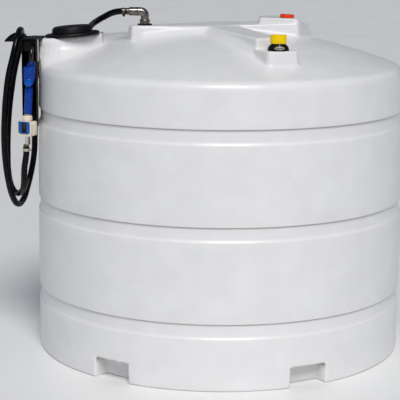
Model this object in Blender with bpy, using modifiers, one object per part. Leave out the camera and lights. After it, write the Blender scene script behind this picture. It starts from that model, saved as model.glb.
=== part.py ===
# Upright round plastic tank for diesel exhaust fluid, with its filling cap, vent cap, inspection
# lid, roof outlet, and a delivery hose that hangs on a side bracket with its meter and nozzle.
# Metres, +Z up. The origin is on the tank's axis at ground level, and -Y is the front.
# Angles round the tank are counted from the front (-Y) towards +X.

import math

import bmesh
import bpy
from mathutils import Matrix, Vector

# Driving dimensions of the tank body
TANK_RADIUS = 0.900
RIM_RADIUS = 0.891
NARROWING_Z = 0.45
NARROWING_POWER = 1.5
SKIN = 0.009
SEAT_GAP = 0.0003
ROUND_STEPS = 72
WALL_TOP = 1.308
GROOVES = ((1.187, 1.121), (0.753, 0.688), (0.312, 0.245))
GROOVE_DEPTH = 0.009
SHOULDER_RADIUS = 0.048
CROWN_Z = 1.565
CROWN_FALL = 0.181
CROWN_POWER = 1.9

# Base: four pockets for straps or forks, in two pairs
POCKET_HEIGHT = 0.098
POCKET_DEPTH = 0.077
POCKET_HALF_ANGLE = 6.0
POCKET_ANGLES = (-33.0, 27.5, 147.0, 207.5)
FLOOR_THICKNESS = 0.010

# Raised forms of the roof: plan outline with the height of the top at each corner
PLATFORM_RADIUS = 0.8800
PLATFORM_EDGE_X = -0.868
PLATFORM_EDGE_Z = 1.520
PLATFORM_SLOPE = 0.0712
PLATFORM_PLAN = ((-0.92, -0.235), (-0.860, -0.265), (-0.800, -0.297), (-0.752, -0.287), (-0.700, -0.258),
                 (-0.645, -0.216), (-0.594, -0.161), (-0.576, -0.110), (-0.576, 0.015), (-0.600, 0.030),
                 (-0.92, 0.030))
LINK_Z = 1.525
LINK_PLAN = ((-0.600, 0.000), (-0.380, 0.000), (-0.340, 0.130), (-0.600, 0.130))
PLATEAU_Z = 1.586
PLATEAU_PLAN = ((-0.430, -0.192), (-0.055, -0.190), (0.085, -0.100), (0.186, 0.000), (0.186, 0.150),
                (-0.040, 0.100), (-0.395, -0.105))
RIB_END_Z = 1.560
RIB_PLAN = ((-0.080, -0.155, 0), (0.155, -0.570, 1), (0.279, -0.498, 1), (0.060, -0.058, 0))
STEP_Z = 1.5115
STEP_PLAN = ((0.140, -0.560), (0.212, -0.697), (0.348, -0.640), (0.276, -0.500))
VENT_ARM_PLAN = ((0.080, -0.103, 1.586), (0.372, -0.090, 1.598), (0.345, 0.165, 1.597),
                 (0.186, 0.165, 1.590), (0.050, 0.050, 1.585))
VENT_ARM_END_PLAN = ((0.371, -0.090, 1.598), (0.449, 0.092, 1.550), (0.400, 0.175, 1.570),
                     (0.344, 0.165, 1.598))
VENT_BLOCK_Z = 1.618
VENT_BLOCK_PLAN = ((0.184, -0.030), (0.371, -0.088), (0.345, 0.150), (0.190, 0.130))
VENT_BLOCK_END_PLAN = ((0.3705, -0.088, 1.618), (0.440, 0.085, 1.573), (0.400, 0.160, 1.590),
                       (0.3445, 0.150, 1.618))
FORM_ROUNDING = 0.012

# Inspection lid on the equipment platform
LID_CENTRE = (-0.717, -0.115)
LID_FLANGE_RADIUS = 0.131
LID_FLANGE_THICKNESS = 0.015
LID_RADIUS = 0.098
LID_HEIGHT = 0.036
LID_FLANGE_EDGE = 0.004
LID_OPENING_RADIUS = 0.085
LID_EDGE = ((0.012, 0.001), (0.004, 0.005), (0.0, 0.014))

# Roof outlet on the plateau, turning to -X
OUTLET_CENTRE = (-0.366, -0.140)
WASHER_RADIUS = 0.035
WASHER_TOP = 1.592
NUT_RADIUS = 0.0265
NUT_TOP = 1.609
PIPE_RADIUS = 0.0207
ELBOW_RADIUS = 0.030
ELBOW_LEG = 0.004
PIPE_Z = 1.651
COUPLING_X = -0.440
COUPLING_RADIUS = 0.0215
TAIL_X = -0.452
TAIL_RADIUS = 0.0190

# Folded-sheet bracket on the tank's left side
SHEET = 0.004
BRACKET_BOTTOM = 1.108
BRACKET_TOP = 1.5217
BRACKET_FRONT = -0.250
BRACKET_BACK = -0.066
BRACKET_LEFT = -0.947
BRACKET_RIGHT_FRONT = -0.8690
BRACKET_RIGHT_BACK = -0.9065
LIP_WIDTH = 0.013
PLATE_RIGHT = -0.8505

# Saddle that the hose hangs on
SADDLE_Y = -0.100
SADDLE_Z = 1.435
SADDLE_RADIUS = 0.1015
SADDLE_HALF_ANGLE = 52
SADDLE_EDGE_X = -0.990
SADDLE_FLARE = 0.044
SADDLE_STEPS = 10

# Nozzle and meter, hanging in front of the bracket
GUN_Y = -0.288
SPOUT_RADIUS = 0.0095
SPOUT_HOLE_RADIUS = 0.0103
SPOUT_REST = 5
SPOUT_ROUTE = ((-0.8955, -0.288, 1.4205), (-0.8955, -0.288, 1.440), (-0.8950, -0.284, 1.460),
               (-0.8945, -0.272, 1.478), (-0.8950, -0.252, 1.488), (-0.8960, -0.231, 1.490),
               (-0.8975, -0.205, 1.488), (-0.8990, -0.180, 1.482))
COLLAR_X = -0.8955
COLLAR_BOTTOM = 1.3965
COLLAR_TOP = 1.4202
COLLAR_RADIUS = 0.0205
BODY_LOW = (-0.9300, -0.315, 1.3010)
BODY_HIGH = (-0.8765, -0.263, 1.3962)
DISC_X = -0.9075
DISC_Z = 1.3220
DISC_RADIUS = 0.0190
DISC_THICKNESS = 0.004
GRIP_X = -0.9155
GRIP_BOTTOM = 1.1720
GRIP_TOP = 1.3005
GRIP_RADII = (0.0190, 0.0195)
GRIP_LEAN = 0.0075
LEVER_ROUTE = ((-0.9085, -0.258, 1.3280), (-0.9090, -0.248, 1.3000), (-0.9105, -0.243, 1.2600),
               (-0.9125, -0.246, 1.2150), (-0.9140, -0.259, 1.1830))
LEVER_RADIUS = 0.0045
SWIVEL_X = -0.9165
SWIVEL_BOTTOM = 1.1643
SWIVEL_TOP = 1.1717
SWIVEL_RADIUS = 0.0165
METER_TURN = 25
METER_SIZE = (0.072, 0.066, 0.076)
METER_CENTRE = (-0.9185, -0.288, 1.102)
METER_FRAME_SIZE = (0.063, 0.0025, 0.059)
METER_FRAME_LIFT = 0.0035
METER_DISPLAY_SIZE = (0.025, 0.0015, 0.044)
METER_DISPLAY_LIFT = 0.003
METER_COLLAR_TOP = 1.1640
METER_COLLAR_RADIUS = 0.0235
NIPPLE_BOTTOM = 1.0240
NIPPLE_RADIUS = 0.0130
METER_TAIL_RADIUS = 0.0140
METER_CLAMP_CENTRE = (-0.9262, -0.288, 0.9985)

# Delivery hose, from the roof outlet to the meter. Points on its centre line, chosen by hand.
HOSE_RADIUS = 0.015
HOSE_SPACING = 0.05
HOSE_ROUTE = (
    (-0.4525, -0.140, 1.6510), (-0.478, -0.140, 1.6510), (-0.517, -0.126, 1.6440), (-0.562, -0.096, 1.6220),
    (-0.605, -0.040, 1.5960), (-0.636, 0.018, 1.5720), (-0.670, 0.066, 1.5330), (-0.713, 0.104, 1.4880),
    (-0.772, 0.128, 1.4550), (-0.844, 0.136, 1.4270), (-0.905, 0.133, 1.3720), (-0.9300, 0.125, 1.2990),
    (-0.9345, 0.113, 1.2200), (-0.932, 0.098, 1.1200), (-0.9335, 0.088, 1.0200),
    (-0.937, 0.082, 0.9250), (-0.950, 0.068, 0.8380),
    (-0.9675, 0.030, 0.7550), (-0.982, -0.035, 0.7020), (-0.998, -0.105, 0.6970), (-1.014, -0.168, 0.7480),
    (-1.027, -0.205, 0.8300), (-1.037, -0.221, 0.9300), (-1.041, -0.224, 1.0400), (-1.037, -0.223, 1.1500),
    (-1.028, -0.221, 1.2550), (-1.014, -0.220, 1.3500), (-0.994, -0.218, 1.4300), (-0.980, -0.203, 1.4950),
    (-0.973, -0.160, 1.5390), (-0.972, -0.100, 1.5550), (-0.974, -0.040, 1.5390), (-0.984, 0.003, 1.4950),
    (-1.000, 0.019, 1.4300), (-1.020, 0.024, 1.3500), (-1.036, 0.022, 1.2550), (-1.047, -0.002, 1.1500),
    (-1.053, -0.024, 1.0400), (-1.054, -0.043, 0.9400), (-1.050, -0.055, 0.8500), (-1.032, -0.083, 0.7850),
    (-1.004, -0.122, 0.7580), (-0.963, -0.190, 0.7800), (-0.945, -0.250, 0.8340), (-0.938, -0.279, 0.9050),
    (-0.9262, -0.288, 0.9850), (-0.9262, -0.288, 1.0125))
CLAMP_BAND = 0.003
CLAMP_WIDTH = 0.024
CLAMP_SCREW_RADIUS = 0.0055
CLAMP_SCREW_HALF_LENGTH = 0.013
OUTLET_CLAMP_CENTRE = (-0.465, -0.140, 1.651)

# Filling point on the step
FILLER_CENTRE = (0.258, -0.6165)
FILLER_RIM_RADIUS = 0.0485
FILLER_RIM_TOP = 1.5165
FILLER_NECK_RADIUS = 0.031
FILLER_NECK_FOOT_RADIUS = 0.0388
FILLER_NECK_TOP = 1.543
FILLER_CAP_RADIUS = 0.037
FILLER_CAP_TOP = 1.581
PADLOCK_SIZE = (0.049, 0.013, 0.0165)
PADLOCK_SHIFT = (0.0035, -0.046)
SHACKLE_RADIUS = 0.002
SHACKLE_HEIGHT = 0.0105
SHACKLE_HALF_WIDTH = 0.004

# Vent cap on the vent block
VENT_CENTRE = (0.321, -0.024)
VENT_CAP_RADIUS = 0.035
VENT_CAP_HEIGHT = 0.0165

PARTS = "diesel_exhaust_fluid_tank"


def clear_scene():
    for scene_object in list(bpy.data.objects):
        bpy.data.objects.remove(scene_object, do_unlink=True)


def parts_collection():
    found = bpy.data.collections.get(PARTS)
    if found is None:
        found = bpy.data.collections.new(PARTS)
        bpy.context.scene.collection.children.link(found)
    return found


def material(name, colour, roughness, metallic=0.0):
    found = bpy.data.materials.get(name)
    if found is None:
        found = bpy.data.materials.new(name)
        found.use_nodes = True
        shader = found.node_tree.nodes["Principled BSDF"]
        shader.inputs["Base Color"].default_value = (*colour, 1.0)
        shader.inputs["Roughness"].default_value = roughness
        shader.inputs["Metallic"].default_value = metallic
    return found


def white_plastic():
    return material("white_polyethylene", (0.78, 0.79, 0.80), 0.45)


def black_plastic():
    return material("black_plastic", (0.012, 0.012, 0.014), 0.45)


def black_steel():
    return material("black_painted_steel", (0.010, 0.010, 0.012), 0.40, 0.2)


def steel():
    return material("stainless_steel", (0.50, 0.49, 0.47), 0.28, 1.0)


def blue_plastic():
    return material("blue_plastic", (0.0, 0.04, 0.42), 0.35)


def cream_plastic():
    return material("cream_plastic", (0.72, 0.66, 0.52), 0.45)


def bare_object(name, data):
    made = bpy.data.objects.new(name, data)
    parts_collection().objects.link(made)
    return made


def finished(name, made, finish):
    made.name = name
    made.data.name = name
    made.data.materials.clear()
    made.data.materials.append(finish)
    return made


def smooth(made, angle=35):
    made.data.shade_smooth()
    made.data.set_sharp_from_angle(angle=math.radians(angle))


def evaluated_copy(source, name):
    # The shape of an object with its modifiers, as a plain mesh object in the same place.
    bpy.context.view_layer.update()
    shape = source.evaluated_get(bpy.context.evaluated_depsgraph_get())
    mesh = bpy.data.meshes.new_from_object(shape)
    made = bpy.data.objects.new(name, mesh)
    made.matrix_world = source.matrix_world.copy()
    source.users_collection[0].objects.link(made)
    bpy.data.objects.remove(source, do_unlink=True)
    return made


def boolean(target, other, operation):
    # Applied at once, so that the next step works on the finished mesh.
    change = target.modifiers.new(operation.lower(), "BOOLEAN")
    change.operation = operation
    change.solver = "EXACT"
    change.object = other
    name = target.name
    made = evaluated_copy(target, name + "_worked")
    bpy.data.objects.remove(other, do_unlink=True)
    made.name = name
    return made


def rounded(made, width, segments=2, angle=40):
    bevel = made.modifiers.new("rounded_edges", "BEVEL")
    bevel.width = width
    bevel.segments = segments
    bevel.limit_method = "ANGLE"
    bevel.angle_limit = math.radians(angle)
    return made


def turned(name, profile, steps=ROUND_STEPS):
    # The profile is a list of (radius, height): outside from top to bottom, then back up inside.
    mesh = bpy.data.meshes.new(name)
    shape = bmesh.new()
    points = [shape.verts.new((radius, 0.0, height)) for radius, height in profile]
    for first, second in zip(points, points[1:] + points[:1]):
        shape.edges.new((first, second))
    shape.to_mesh(mesh)
    shape.free()
    made = bare_object(name, mesh)
    screw = made.modifiers.new("turning", "SCREW")
    screw.angle = 2 * math.pi
    screw.steps = steps
    screw.render_steps = steps
    screw.use_merge_vertices = True
    screw.merge_threshold = 0.0001
    return evaluated_copy(made, name)


def moved(made, place=(0, 0, 0), turn=Matrix.Identity(4)):
    made.data.transform(Matrix.Translation(place) @ turn)
    return made


def block(name, low, high, rounding=0.0, turn_z=0.0):
    # A box from its lowest to its highest corner, turned about its own middle.
    size = [b - a for a, b in zip(low, high)]
    middle = [(a + b) / 2 for a, b in zip(low, high)]
    shape = bmesh.new()
    bmesh.ops.create_cube(shape, size=1.0)
    bmesh.ops.scale(shape, vec=size, verts=shape.verts)
    bmesh.ops.rotate(shape, matrix=Matrix.Rotation(turn_z, 3, "Z"), verts=shape.verts)
    bmesh.ops.translate(shape, vec=middle, verts=shape.verts)
    mesh = bpy.data.meshes.new(name)
    shape.to_mesh(mesh)
    shape.free()
    made = bare_object(name, mesh)
    if rounding:
        rounded(made, rounding)
    return made


def rod(name, start, end, radius, sides=24, end_radius=None):
    # A round bar, or a cone, between two points.
    start = Vector(start)
    end = Vector(end)
    shape = bmesh.new()
    bmesh.ops.create_cone(shape, cap_ends=True, segments=sides, radius1=radius,
                          radius2=radius if end_radius is None else end_radius, depth=(end - start).length)
    mesh = bpy.data.meshes.new(name)
    shape.to_mesh(mesh)
    shape.free()
    turn = (end - start).to_track_quat("Z", "Y").to_matrix().to_4x4()
    return moved(bare_object(name, mesh), (start + end) / 2, turn)


def ring(name, start, end, inner, outer, sides=32):
    # A short sleeve between two points.
    start = Vector(start)
    end = Vector(end)
    half = (end - start).length / 2
    made = turned(name, ((outer, half), (outer, -half), (inner, -half), (inner, half)), sides)
    turn = (end - start).to_track_quat("Z", "Y").to_matrix().to_4x4()
    return moved(made, (start + end) / 2, turn)


def smooth_route(route, spacing):
    # Points at an even spacing along a smooth curve through the route's own points.
    knots = [Vector(point) for point in route]
    knots = [2 * knots[0] - knots[1]] + knots + [2 * knots[-1] - knots[-2]]
    fine = []
    fineness = 24
    for before, start, end, after in zip(knots, knots[1:], knots[2:], knots[3:]):
        for step in range(fineness):
            t = step / fineness
            fine.append(0.5 * (2 * start + (end - before) * t
                               + (2 * before - 5 * start + 4 * end - after) * t ** 2
                               + (3 * start - before - 3 * end + after) * t ** 3))
    fine.append(knots[-2])
    total = sum((b - a).length for a, b in zip(fine, fine[1:]))
    count = max(2, round(total / spacing))
    points = [fine[0]]
    travelled = 0.0
    for start, end in zip(fine, fine[1:]):
        step = (end - start).length
        while len(points) < count and travelled + step >= total * len(points) / count:
            part = (total * len(points) / count - travelled) / step
            points.append(start.lerp(end, part))
        travelled += step
    points.append(fine[-1])
    return points


def tube(name, points, radius, resolution=2):
    # A round tube or wire along a line of points, with closed ends, as a curve object.
    curve = bpy.data.curves.new(name, "CURVE")
    curve.dimensions = "3D"
    curve.bevel_depth = radius
    curve.bevel_resolution = resolution
    curve.use_fill_caps = True
    line = curve.splines.new("POLY")
    line.points.add(len(points) - 1)
    for spot, point in zip(line.points, points):
        spot.co = (*point, 1.0)
    return bare_object(name, curve)


def tube_mesh(name, points, radius, resolution=3):
    # The same tube as a closed mesh, for pieces that are cut or joined.
    made = evaluated_copy(tube(name, points, radius, resolution), name)
    shape = bmesh.new()
    shape.from_mesh(made.data)
    bmesh.ops.remove_doubles(shape, verts=shape.verts, dist=0.00001)
    bmesh.ops.recalc_face_normals(shape, faces=shape.faces)
    shape.to_mesh(made.data)
    shape.free()
    return made


def inset_plan(plan, distance):
    # Moves each side of a plan outline inwards, and keeps each corner's own height value.
    corners = [Vector(corner[:2]) for corner in plan]
    result = []
    for i, corner in enumerate(plan):
        before = (corners[i] - corners[i - 1]).normalized()
        after = (corners[(i + 1) % len(corners)] - corners[i]).normalized()
        inward = Vector((-before.y, before.x)) + Vector((-after.y, after.x))
        reach = distance / max(0.5, (1 + before.dot(after)) / 2) ** 0.5
        spot = corners[i] + inward.normalized() * reach
        result.append((spot.x, spot.y, *corner[2:]))
    return result


def prism(name, plan, bottom, top):
    # A raised form: its plan outline, with the height of the top at each corner.
    shape = bmesh.new()
    base = [shape.verts.new((corner[0], corner[1], bottom)) for corner in plan]
    face = shape.faces.new(base)
    raised = bmesh.ops.extrude_face_region(shape, geom=[face])
    for vertex in [item for item in raised["geom"] if isinstance(item, bmesh.types.BMVert)]:
        corner = min(plan, key=lambda c: (c[0] - vertex.co.x) ** 2 + (c[1] - vertex.co.y) ** 2)
        vertex.co.z = top(corner)
    bmesh.ops.recalc_face_normals(shape, faces=shape.faces)
    mesh = bpy.data.meshes.new(name)
    shape.to_mesh(mesh)
    shape.free()
    return bare_object(name, mesh)


def crown_height(radius):
    return CROWN_Z - CROWN_FALL * (radius / TANK_RADIUS) ** CROWN_POWER


def wall_radius(height):
    # The wall is upright below and draws in a little towards its top.
    part = max(0.0, height - NARROWING_Z) / (WALL_TOP - NARROWING_Z)
    return TANK_RADIUS - (TANK_RADIUS - RIM_RADIUS) * part ** NARROWING_POWER


def roof_profile(offset):
    # From the crown's middle out to the shoulder and down to the rim, moved in by the offset.
    end_angle = math.radians(67)
    arc_x = RIM_RADIUS - SHOULDER_RADIUS
    join_radius = arc_x + SHOULDER_RADIUS * math.cos(end_angle)
    arc_z = crown_height(join_radius) - SHOULDER_RADIUS * math.sin(end_angle)
    crown_radii = [0.0, 0.15, 0.30, 0.45, 0.58, 0.70, 0.78, 0.82]
    profile = [(radius, crown_height(radius) - offset) for radius in crown_radii]
    radius = SHOULDER_RADIUS - offset
    for step in range(6):
        angle = end_angle * (1 - step / 5)
        profile.append((arc_x + radius * math.cos(angle), arc_z + radius * math.sin(angle)))
    profile.append((RIM_RADIUS - offset, WALL_TOP + SEAT_GAP))
    return profile


def platform_top(corner):
    return PLATFORM_EDGE_Z + PLATFORM_SLOPE * (corner[0] - PLATFORM_EDGE_X)


def rib_top(corner):
    return RIB_END_Z if corner[2] else PLATEAU_Z


RAISED_FORMS = (
    ("equipment_platform", PLATFORM_PLAN, platform_top),
    ("link", LINK_PLAN, lambda corner: LINK_Z),
    ("plateau", PLATEAU_PLAN, lambda corner: PLATEAU_Z),
    ("filler_rib", RIB_PLAN, rib_top),
    ("filler_step", STEP_PLAN, lambda corner: STEP_Z),
    ("vent_arm", VENT_ARM_PLAN, lambda corner: corner[2]),
    ("vent_arm_end", VENT_ARM_END_PLAN, lambda corner: corner[2]),
    ("vent_block", VENT_BLOCK_PLAN, lambda corner: VENT_BLOCK_Z),
    ("vent_block_end", VENT_BLOCK_END_PLAN, lambda corner: corner[2]),
)


def roof_form(name, offset, floor_z):
    # The roof's whole outline as one solid: the crown with its raised forms. The inner
    # solid is the same shape one skin thickness further in.
    profile = roof_profile(offset)
    profile[-1] = (profile[-1][0], floor_z)
    made = turned(name, profile + [(0.0, floor_z)])
    for form_name, plan, top in RAISED_FORMS:
        inner_plan = inset_plan(plan, offset) if offset else plan
        form = prism(form_name, inner_plan, floor_z + 0.02, lambda corner, t=top: t(corner) - offset)
        if not offset:
            rounded(form, FORM_ROUNDING, 2, 25)
            form = evaluated_copy(form, form_name)
        if form_name == "equipment_platform":
            limit = PLATFORM_RADIUS - offset
            side = turned("tank_side", ((limit, 1.8), (limit, 1.0), (0.0, 1.0), (0.0, 1.8)))
            form = boolean(form, side, "INTERSECT")
        made = boolean(made, form, "UNION")
    return made


def tank_roof():
    outer = roof_form("tank_roof", 0.0, WALL_TOP + SEAT_GAP)
    inner = roof_form("roof_hollow", SKIN, WALL_TOP - 0.05)
    roof = boolean(outer, inner, "DIFFERENCE")
    smooth(roof)
    finished("tank_roof", roof, white_plastic())


def tank_wall():
    # Bands with shallow grooves between them, and a flange below that closes the pockets' tops.
    outside = [(RIM_RADIUS, WALL_TOP)]
    for upper_edge, lower_edge in GROOVES:
        upper_radius = wall_radius(upper_edge)
        lower_radius = wall_radius(lower_edge)
        outside += [(upper_radius, upper_edge + 0.004), (upper_radius - 0.003, upper_edge),
                    (upper_radius - GROOVE_DEPTH, upper_edge - 0.003),
                    (lower_radius - GROOVE_DEPTH, lower_edge + 0.012),
                    (lower_radius - 0.003, lower_edge + 0.003), (lower_radius, lower_edge - 0.006)]
        if lower_edge > NARROWING_Z:
            middle = lower_edge - 0.16
            outside.append((wall_radius(middle), middle))
    low = POCKET_HEIGHT + SEAT_GAP
    thickness = GROOVE_DEPTH + SKIN
    inner_radius = TANK_RADIUS - thickness
    flange_radius = TANK_RADIUS - POCKET_DEPTH - 0.020
    outside += [(TANK_RADIUS, low), (flange_radius, low), (flange_radius, low + SKIN),
                (inner_radius, low + SKIN), (inner_radius, NARROWING_Z)]
    outside += [(wall_radius(height) - thickness, height) for height in (0.8, 1.1, WALL_TOP)]
    wall = turned("tank_wall", outside)
    smooth(wall)
    finished("tank_wall", wall, white_plastic())


def tank_floor():
    # A shallow pan whose upstand is the back of the pockets.
    radius = TANK_RADIUS - POCKET_DEPTH - 0.0015
    floor = turned("tank_floor", ((radius, POCKET_HEIGHT), (radius, 0.0), (0.0, 0.0), (0.0, FLOOR_THICKNESS),
                                  (radius - SKIN, FLOOR_THICKNESS), (radius - SKIN, POCKET_HEIGHT)))
    smooth(floor)
    finished("tank_floor", floor, white_plastic())


def skirt(name, start_angle, end_angle):
    # The foot of the tank between two pockets, a curved bar with a rounded bottom edge.
    inner = TANK_RADIUS - POCKET_DEPTH
    foot = 0.012
    shape = bmesh.new()
    section = [(TANK_RADIUS, POCKET_HEIGHT), (TANK_RADIUS, foot), (TANK_RADIUS - 0.0035, 0.0035),
               (TANK_RADIUS - foot, 0.0), (inner, 0.0), (inner, POCKET_HEIGHT)]
    points = [shape.verts.new((0.0, -radius, height)) for radius, height in section]
    face = shape.faces.new(points)
    bmesh.ops.rotate(shape, matrix=Matrix.Rotation(math.radians(start_angle), 3, "Z"), verts=shape.verts)
    turn = math.radians(end_angle - start_angle)
    bmesh.ops.spin(shape, geom=[face, *face.edges, *face.verts], axis=(0, 0, 1), cent=(0, 0, 0),
                   steps=max(6, round(math.degrees(turn) / 5)), angle=turn, use_duplicate=False)
    bmesh.ops.recalc_face_normals(shape, faces=shape.faces)
    corners = [edge for edge in shape.edges
               if abs(edge.verts[0].co.xy.length - TANK_RADIUS) < 0.001
               and abs(edge.verts[1].co.xy.length - TANK_RADIUS) < 0.001
               and abs(edge.verts[0].co.z - edge.verts[1].co.z) > 0.05
               and edge.calc_face_angle(0) > 1.0]
    bmesh.ops.bevel(shape, geom=corners, offset=0.014, segments=3, affect="EDGES", profile=0.5)
    mesh = bpy.data.meshes.new(name)
    shape.to_mesh(mesh)
    shape.free()
    made = bare_object(name, mesh)
    smooth(made)
    return finished(name, made, white_plastic())


def tank_skirts():
    names = ("skirt_front", "skirt_right", "skirt_back", "skirt_left")
    for i, name in enumerate(names):
        start = POCKET_ANGLES[i] + POCKET_HALF_ANGLE
        following = POCKET_ANGLES[(i + 1) % 4] + (360 if i == 3 else 0)
        skirt(name, start, following - POCKET_HALF_ANGLE)


def inspection_lid():
    # Both pieces are turned upright and then laid on the platform's slight slope.
    x, y = LID_CENTRE
    slope = Matrix.Rotation(-math.atan(PLATFORM_SLOPE), 4, "Y")
    seat = (x, y, platform_top((x, y)) + SEAT_GAP)
    flange_top = LID_FLANGE_THICKNESS
    edge = LID_FLANGE_EDGE
    flange = turned("lid_flange", ((LID_FLANGE_RADIUS - edge, flange_top),
                                   (LID_FLANGE_RADIUS, flange_top - edge), (LID_FLANGE_RADIUS, 0.0),
                                   (LID_OPENING_RADIUS, 0.0),
                                   (LID_OPENING_RADIUS, flange_top)), 48)
    moved(flange, seat, slope)
    smooth(flange)
    finished("lid_flange", flange, black_plastic())
    low = flange_top + SEAT_GAP
    high = flange_top + LID_HEIGHT
    outline = [(0.0, high)]
    outline += [(LID_RADIUS - inwards, high - down) for inwards, down in LID_EDGE]
    outline += [(LID_RADIUS, low), (0.0, low)]
    lid = turned("inspection_lid", outline, 48)
    moved(lid, seat, slope)
    smooth(lid)
    finished("inspection_lid", lid, black_plastic())


def upright_rod(name, centre, low, high, radius, sides):
    x, y = centre
    return rod(name, (x, y, low), (x, y, high), radius, sides)


def roof_outlet():
    # Washer, hex nut, elbow, coupling and hose tail, one after another from the roof.
    washer = upright_rod("outlet_washer", OUTLET_CENTRE, PLATEAU_Z + SEAT_GAP, WASHER_TOP, WASHER_RADIUS, 36)
    smooth(washer)
    finished("outlet_washer", washer, black_plastic())
    nut = upright_rod("outlet_nut", OUTLET_CENTRE, WASHER_TOP + SEAT_GAP, NUT_TOP, NUT_RADIUS, 6)
    finished("outlet_nut", nut, steel())
    outlet_x, outlet_y = OUTLET_CENTRE
    bend_x = outlet_x - ELBOW_RADIUS
    bend_z = PIPE_Z - ELBOW_RADIUS
    path = [(outlet_x, outlet_y, NUT_TOP + SEAT_GAP)]
    bend_steps = 8
    for step in range(bend_steps + 1):
        angle = math.radians(90 * step / bend_steps)
        across = ELBOW_RADIUS * math.cos(angle)
        up = ELBOW_RADIUS * math.sin(angle)
        path.append((bend_x + across, outlet_y, bend_z + up))
    leg_end = bend_x - ELBOW_LEG
    path.append((leg_end, outlet_y, PIPE_Z))
    elbow = tube_mesh("outlet_elbow", path, PIPE_RADIUS, 4)
    smooth(elbow)
    finished("outlet_elbow", elbow, steel())
    coupling = rod("hose_coupling", (leg_end - SEAT_GAP, outlet_y, PIPE_Z), (COUPLING_X, outlet_y, PIPE_Z),
                   COUPLING_RADIUS, 28)
    rounded(coupling, 0.002)
    smooth(coupling)
    finished("hose_coupling", coupling, steel())
    tail = rod("hose_tail", (COUPLING_X - SEAT_GAP, outlet_y, PIPE_Z), (TAIL_X, outlet_y, PIPE_Z),
               TAIL_RADIUS, 28)
    smooth(tail)
    finished("hose_tail", tail, steel())


def hose_clamp(name, centre, direction, screw_side, tail_side):
    # A band round the hose with its screw housing on one side.
    centre = Vector(centre)
    direction = Vector(direction).normalized()
    inner = HOSE_RADIUS + 0.0006
    outer = inner + CLAMP_BAND
    half = direction * CLAMP_WIDTH / 2
    band = ring("clamp_band", centre - half, centre + half, inner, outer)
    side = Vector(screw_side).normalized()
    along = Vector(tail_side).normalized()
    middle = centre + side * (outer + CLAMP_SCREW_RADIUS - CLAMP_BAND / 2)
    reach = along * CLAMP_SCREW_HALF_LENGTH
    housing = rod("clamp_screw", middle - reach, middle + reach, CLAMP_SCREW_RADIUS, 12)
    made = boolean(band, housing, "UNION")
    smooth(made)
    finished(name, made, steel())


def delivery_hose():
    middle = smooth_route(HOSE_ROUTE[1:-1], HOSE_SPACING)
    points = [Vector(HOSE_ROUTE[0]), *middle, Vector(HOSE_ROUTE[-1])]
    hose = tube("delivery_hose", points, HOSE_RADIUS, 2)
    finished("delivery_hose", hose, material("black_rubber", (0.012, 0.012, 0.013), 0.5))


def nozzle_bracket():
    # A channel of folded sheet, open to the front, with a top plate that hooks onto the roof.
    lip_end = BRACKET_RIGHT_FRONT - LIP_WIDTH
    channel_plan = ((BRACKET_LEFT, BRACKET_FRONT), (BRACKET_LEFT + SHEET, BRACKET_FRONT),
                    (BRACKET_LEFT + SHEET, BRACKET_BACK - SHEET),
                    (BRACKET_RIGHT_BACK - SHEET, BRACKET_BACK - SHEET),
                    (BRACKET_RIGHT_FRONT - SHEET, BRACKET_FRONT + SHEET), (lip_end, BRACKET_FRONT + SHEET),
                    (lip_end, BRACKET_FRONT), (BRACKET_RIGHT_FRONT, BRACKET_FRONT),
                    (BRACKET_RIGHT_BACK, BRACKET_BACK), (BRACKET_LEFT, BRACKET_BACK))
    channel = prism("nozzle_bracket", channel_plan, BRACKET_BOTTOM, lambda corner: BRACKET_TOP + SHEET / 2)
    plate = block("bracket_plate", (BRACKET_LEFT, BRACKET_FRONT, BRACKET_TOP), (PLATE_RIGHT, BRACKET_BACK,
                  BRACKET_TOP + SHEET))
    made = boolean(channel, plate, "UNION")
    finished("nozzle_bracket", made, black_steel())


def hose_saddle():
    # An arched strip that flares outwards at its ends, with a plate behind it against the bracket.
    shape = bmesh.new()
    inner_x = BRACKET_LEFT - SEAT_GAP
    line = [shape.verts.new((x, SADDLE_Y, SADDLE_Z + SADDLE_RADIUS)) for x in (inner_x, SADDLE_EDGE_X)]
    edge = shape.edges.new(line)
    half = math.radians(SADDLE_HALF_ANGLE)
    turn = Matrix.Rotation(-half, 3, "X")
    bmesh.ops.rotate(shape, cent=(0, SADDLE_Y, SADDLE_Z), matrix=turn, verts=shape.verts)
    bmesh.ops.spin(shape, geom=[edge, *line], axis=(1, 0, 0), cent=(0, SADDLE_Y, SADDLE_Z),
                   angle=2 * half, steps=SADDLE_STEPS, use_duplicate=False)
    for vertex in shape.verts:
        if vertex.co.x < inner_x - 0.01:
            angle = math.atan2(abs(vertex.co.y - SADDLE_Y), vertex.co.z - SADDLE_Z)
            vertex.co.x -= SADDLE_FLARE * angle / half
    bmesh.ops.recalc_face_normals(shape, faces=shape.faces)
    outward = sum((face.normal.dot(face.calc_center_median() - Vector((face.calc_center_median().x,
                  SADDLE_Y, SADDLE_Z))) for face in shape.faces), 0.0)
    if outward < 0:
        bmesh.ops.reverse_faces(shape, faces=shape.faces)
    mesh = bpy.data.meshes.new("hose_saddle")
    shape.to_mesh(mesh)
    shape.free()
    strip = bare_object("hose_saddle", mesh)
    wall = strip.modifiers.new("sheet", "SOLIDIFY")
    wall.thickness = SHEET
    wall.offset = -1.0
    strip = evaluated_copy(strip, "hose_saddle")
    back = block("saddle_plate", (inner_x - SHEET, SADDLE_Y - 0.060, SADDLE_Z - 0.050),
                 (inner_x, SADDLE_Y + 0.030, SADDLE_Z + SADDLE_RADIUS - 0.020))
    made = boolean(strip, back, "UNION")
    smooth(made)
    finished("hose_saddle", made, black_steel())


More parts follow.
